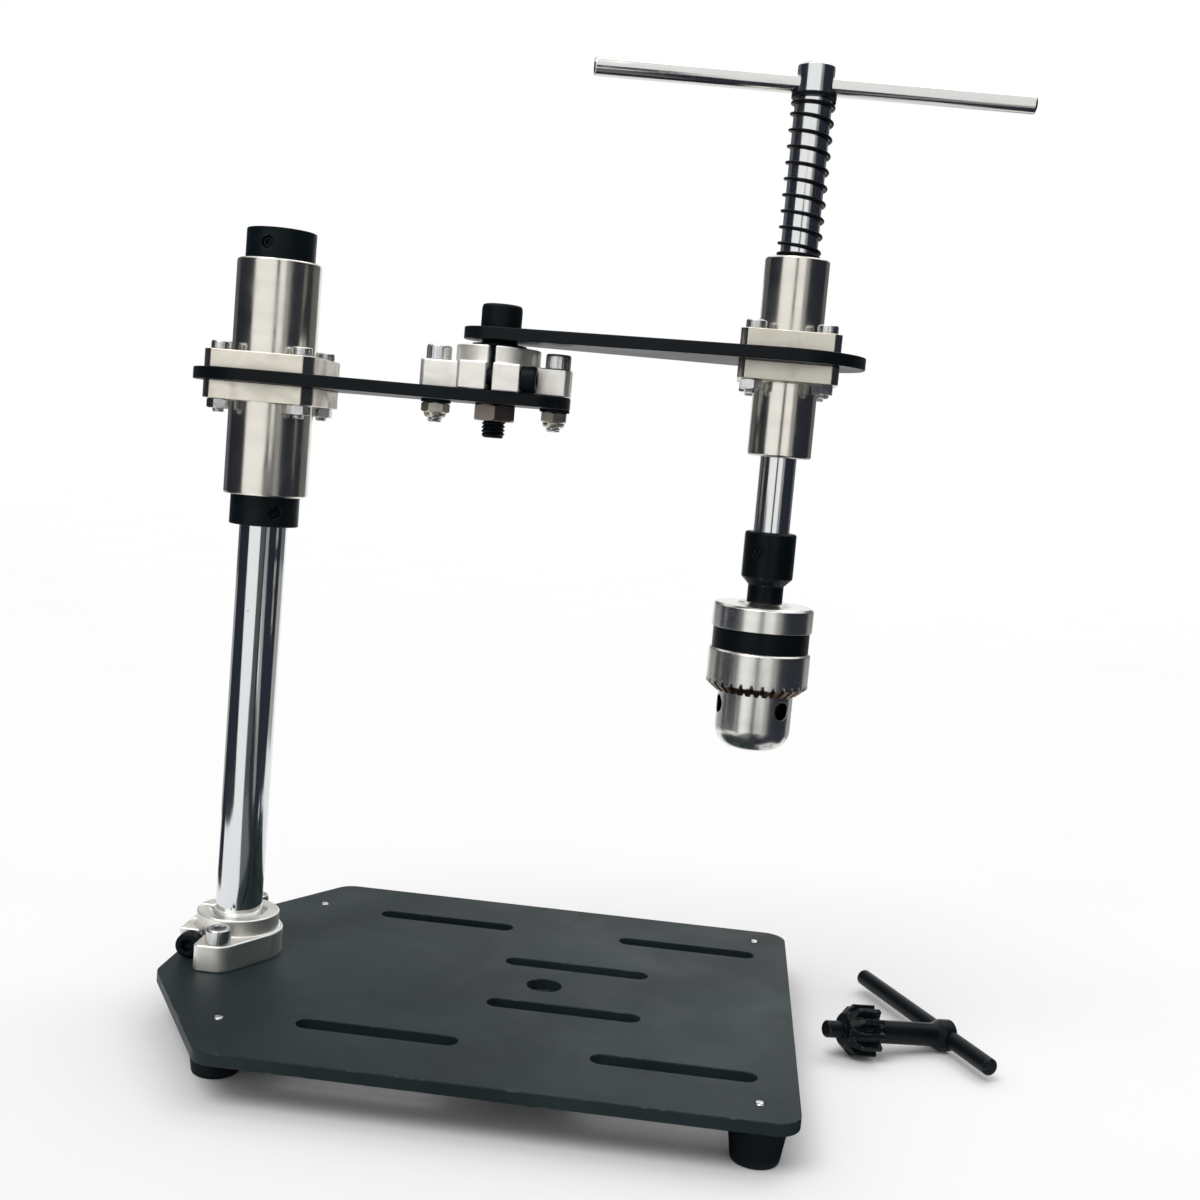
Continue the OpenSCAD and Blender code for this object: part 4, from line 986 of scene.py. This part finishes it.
sleeve_low, sleeve_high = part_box("chuck_sleeve")
tooth_height = 2.75 * MM
nose_radius = 12.5 * MM
nose_rounding = 7 * MM
body_steel = chuck_finish(
    "turned chuck body", (0.88, 0.87, 0.83), 0.23, spindle_axis, oily_below=0.0, hollow=nose_radius,
    hollow_low=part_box("chuck_body")[0].z + nose_rounding, hollow_high=sleeve_high.z
)
sleeve_steel = chuck_finish(
    "turned chuck sleeve", (0.86, 0.845, 0.80), 0.23, spindle_axis,
    oily_below=sleeve_low.z + tooth_height + OIL_EDGE, hollow=nose_radius,
    hollow_low=sleeve_low.z, hollow_high=sleeve_high.z
)
jaw_steel = metal_finish(
    "hardened jaws", colour=(0.22, 0.21, 0.2), stain=(0.12, 0.1, 0.08), rough=0.32,
    grain_size=0.3, grain_depth=0.003 * MM
)
eased("chuck_body", 0.15 * MM, body_steel)
eased("chuck_band", 0.15 * MM, adapter_black)
eased("chuck_sleeve", 0.1 * MM, sleeve_steel)
eased("chuck_nut", 0.1 * MM, jaw_steel)
for jaw in ("chuck_jaw_1", "chuck_jaw_2", "chuck_jaw_3"):
    eased(jaw, 0.12 * MM, jaw_steel)

# Chuck key
# A loose key of black-oxide steel that lies on the bench: a stem with a bevelled pinion and a pilot, and
# a plain bar pressed through its head.

key_black = black_finish(
    "oiled key steel", colour=(0.003, 0.0046, 0.006), worn=(0.05, 0.048, 0.045), rough=0.34, reach=0.5
)
eased("key_stem", 0.2 * MM, key_black)
eased("key_bar", 0.25 * MM, key_black, steps=3)

# Studio
# A plain pale bench under soft light. Upright boards and cards, and cloths and mats that lie on the bench,
# show only as reflections: they give the bright metal its dark and grey bands.

FLOOR_HALF = 6.0


def flat_board(name, corners, finish):
    """Flat board of the studio through four corners."""
    mesh = bpy.data.meshes.new(name)
    mesh.from_pydata(corners, [], [tuple(range(len(corners)))])
    mesh.materials.append(finish)
    board = bpy.data.objects.new(name, mesh)
    bpy.context.scene.collection.objects.link(board)
    return board


bench_values = {"Roughness": 0.9, "Specular IOR Level": 0.1}
bench_pale, bench_tree, bench_shader = new_finish("pale bench", bench_values)
bench_tone = noise(bench_tree, surface_point(bench_tree), scale=9.0, detail=2.0)
bench_colour = tint(bench_tree, bench_tone, (0.93, 0.93, 0.93), (0.95, 0.95, 0.95))
bench_tree.links.new(bench_colour, bench_shader.inputs["Base Color"])
flat_board("bench_top", [(-FLOOR_HALF, -FLOOR_HALF, 0), (FLOOR_HALF, -FLOOR_HALF, 0),
                         (FLOOR_HALF, FLOOR_HALF, 0), (-FLOOR_HALF, FLOOR_HALF, 0)], bench_pale)

BOARD_FAR = 1.6
BOARD_FOOT = 0.002
BOARD_TOP = 1.2
HUNG_FOOT = 0.45
HUNG_FIRST = -171
HUNG_LAST = -148
MAT_BACK = -0.02
MAT_FRONT = -0.6


def board_finish(name, colour):
    """Dull paint of a studio board, a little uneven."""
    made, tree, shader = new_finish(name, {"Roughness": 1.0, "Specular IOR Level": 0.0})
    tone = noise(tree, surface_point(tree), scale=2.0, detail=2.0)
    tree.links.new(tint(tree, tone, shade(colour, 0.8), colour), shader.inputs["Base Color"])
    return made


def unseen_board(name, corners, finish):
    """Board that shows only as a reflection in bright metal."""
    board = flat_board(name, corners, finish)
    board.visible_camera = False
    board.visible_shadow = False
    board.visible_diffuse = False


def spot(bearing_angle, away):
    """Place in plan at a bearing, in degrees to the right of the way from the object towards -Y."""
    heading = math.radians(bearing_angle - 90)
    return away * math.cos(heading), away * math.sin(heading)


def upright(first, last, foot, top):
    """Corners of a board that stands over two places."""
    return [(*first, foot), (*last, foot), (*last, top), (*first, top)]


def lying(*places):
    """Corners of a sheet that lies just over the bench."""
    return [(*place, BOARD_FOOT) for place in places]


board_dark = board_finish("dark board", (0.028, 0.032, 0.044))
board_grey = board_finish("grey board", (0.16, 0.165, 0.17))
board_pale = board_finish("pale grey board", (0.42, 0.42, 0.41))
for board_name, first, last, near, paint, cloth in (
    ("board_rear_left", -150, -113, 0.35, board_grey, board_pale),
    ("board_left", -113, -88, 0.25, board_dark, board_dark),
    ("board_left_front", -88, -53, 0.36, board_dark, board_dark),
    ("board_right_edge", 31, 46, 0.2, board_pale, board_pale),
    ("board_right", 46, 122, 0.2, board_dark, board_dark),
    ("board_rear_right", 122, 160, 0.35, board_grey, board_pale),
):
    far = [spot(first, BOARD_FAR), spot(last, BOARD_FAR)]
    unseen_board(board_name, upright(*far, BOARD_FOOT, BOARD_TOP), paint)
    unseen_board(board_name + "_cloth", lying(*far, spot(last, near), spot(first, near)), cloth)
hung = [spot(HUNG_FIRST, BOARD_FAR), spot(HUNG_LAST, BOARD_FAR)]
unseen_board("board_hung", upright(*hung, HUNG_FOOT, BOARD_TOP), board_grey)
for card_name, card_left, card_right, card_y, card_foot, card_top, paint in (
    ("column_card", -0.105, -0.056, -0.12, 0.045, 0.185, board_grey),
    ("chuck_card", 0.02, 0.064, -0.27, BOARD_FOOT, 0.225, board_dark),
    ("camera_card", -0.008, 0.082, -0.62, 0.1, 0.4, board_dark),
):
    unseen_board(card_name, upright((card_left, card_y), (card_right, card_y), card_foot, card_top), paint)
for mat_name, mat_left, mat_right, paint in (
    ("mat_column", -0.09, 0.03, board_grey),
    ("mat_spindle", 0.03, 0.25, board_dark),
):
    mat = lying((mat_left, MAT_BACK), (mat_left, MAT_FRONT), (mat_right, MAT_FRONT), (mat_right, MAT_BACK))
    unseen_board(mat_name, mat, paint)

world = bpy.data.worlds.new("pale studio")
bpy.context.scene.world = world
world.use_nodes = True
sky = world.node_tree
FILL_STRENGTH = 0.62
SEEN_STRENGTH = 1.0
ray = add_node(sky, "ShaderNodeLightPath").outputs
seen = math_node(sky, "MAXIMUM", ray["Is Camera Ray"],
                 math_node(sky, "MAXIMUM", ray["Is Glossy Ray"], ray["Is Transmission Ray"]))
strength = mixed(sky, seen, FILL_STRENGTH, SEEN_STRENGTH)
sky.nodes["Background"].inputs["Color"].default_value = (1.0, 1.0, 1.0, 1.0)
sky.links.new(strength, sky.nodes["Background"].inputs["Strength"])


def soft_sun(name, heading, height, spread, strength):
    """Even light from a heading about Z and a height, softened over a spread, all in degrees."""
    lamp = bpy.data.lights.new(name, "SUN")
    lamp.energy = strength
    lamp.angle = math.radians(spread)
    holder = bpy.data.objects.new(name, lamp)
    level = math.cos(math.radians(height))
    source = Vector((level * math.cos(math.radians(heading)), level * math.sin(math.radians(heading)),
                     math.sin(math.radians(height))))
    holder.rotation_euler = (-source).to_track_quat("-Z", "Y").to_euler()
    bpy.context.scene.collection.objects.link(holder)


soft_sun("key_light", heading=-125, height=58, spread=34, strength=1.1)
soft_sun("top_light", heading=60, height=66, spread=40, strength=0.5)

# Camera
# It stands where the photograph was taken from: a little above the chuck, leaning slightly.
# Its angles are in radians, and its focal length is in pixels of the photograph.

PHOTO_SIZE = 1200
PHOTO_FOCAL = 1491.59
camera_place = Vector((38.651, -494.635, 200.756)) * MM
yaw, pitch, roll = -0.083455, -0.099256, 0.087440
lens = bpy.data.cameras.new("photo_camera")
lens.sensor_fit = "HORIZONTAL"
lens.lens = lens.sensor_width * PHOTO_FOCAL / PHOTO_SIZE
lens.clip_start = 0.01
lens.clip_end = 40.0
camera = bpy.data.objects.new("photo_camera", lens)
bpy.context.scene.collection.objects.link(camera)
ahead = Vector((math.sin(yaw) * math.cos(pitch), math.cos(yaw) * math.cos(pitch), math.sin(pitch)))
level_right = Vector((math.cos(yaw), -math.sin(yaw), 0.0))
level_up = level_right.cross(ahead)
right = level_right * math.cos(roll) + level_up * math.sin(roll)
up = level_up * math.cos(roll) - level_right * math.sin(roll)
camera.matrix_world = Matrix.Translation(camera_place) @ Matrix((right, up, -ahead)).transposed().to_4x4()
bpy.context.scene.camera = camera
bpy.context.scene.view_settings.view_transform = "Standard"
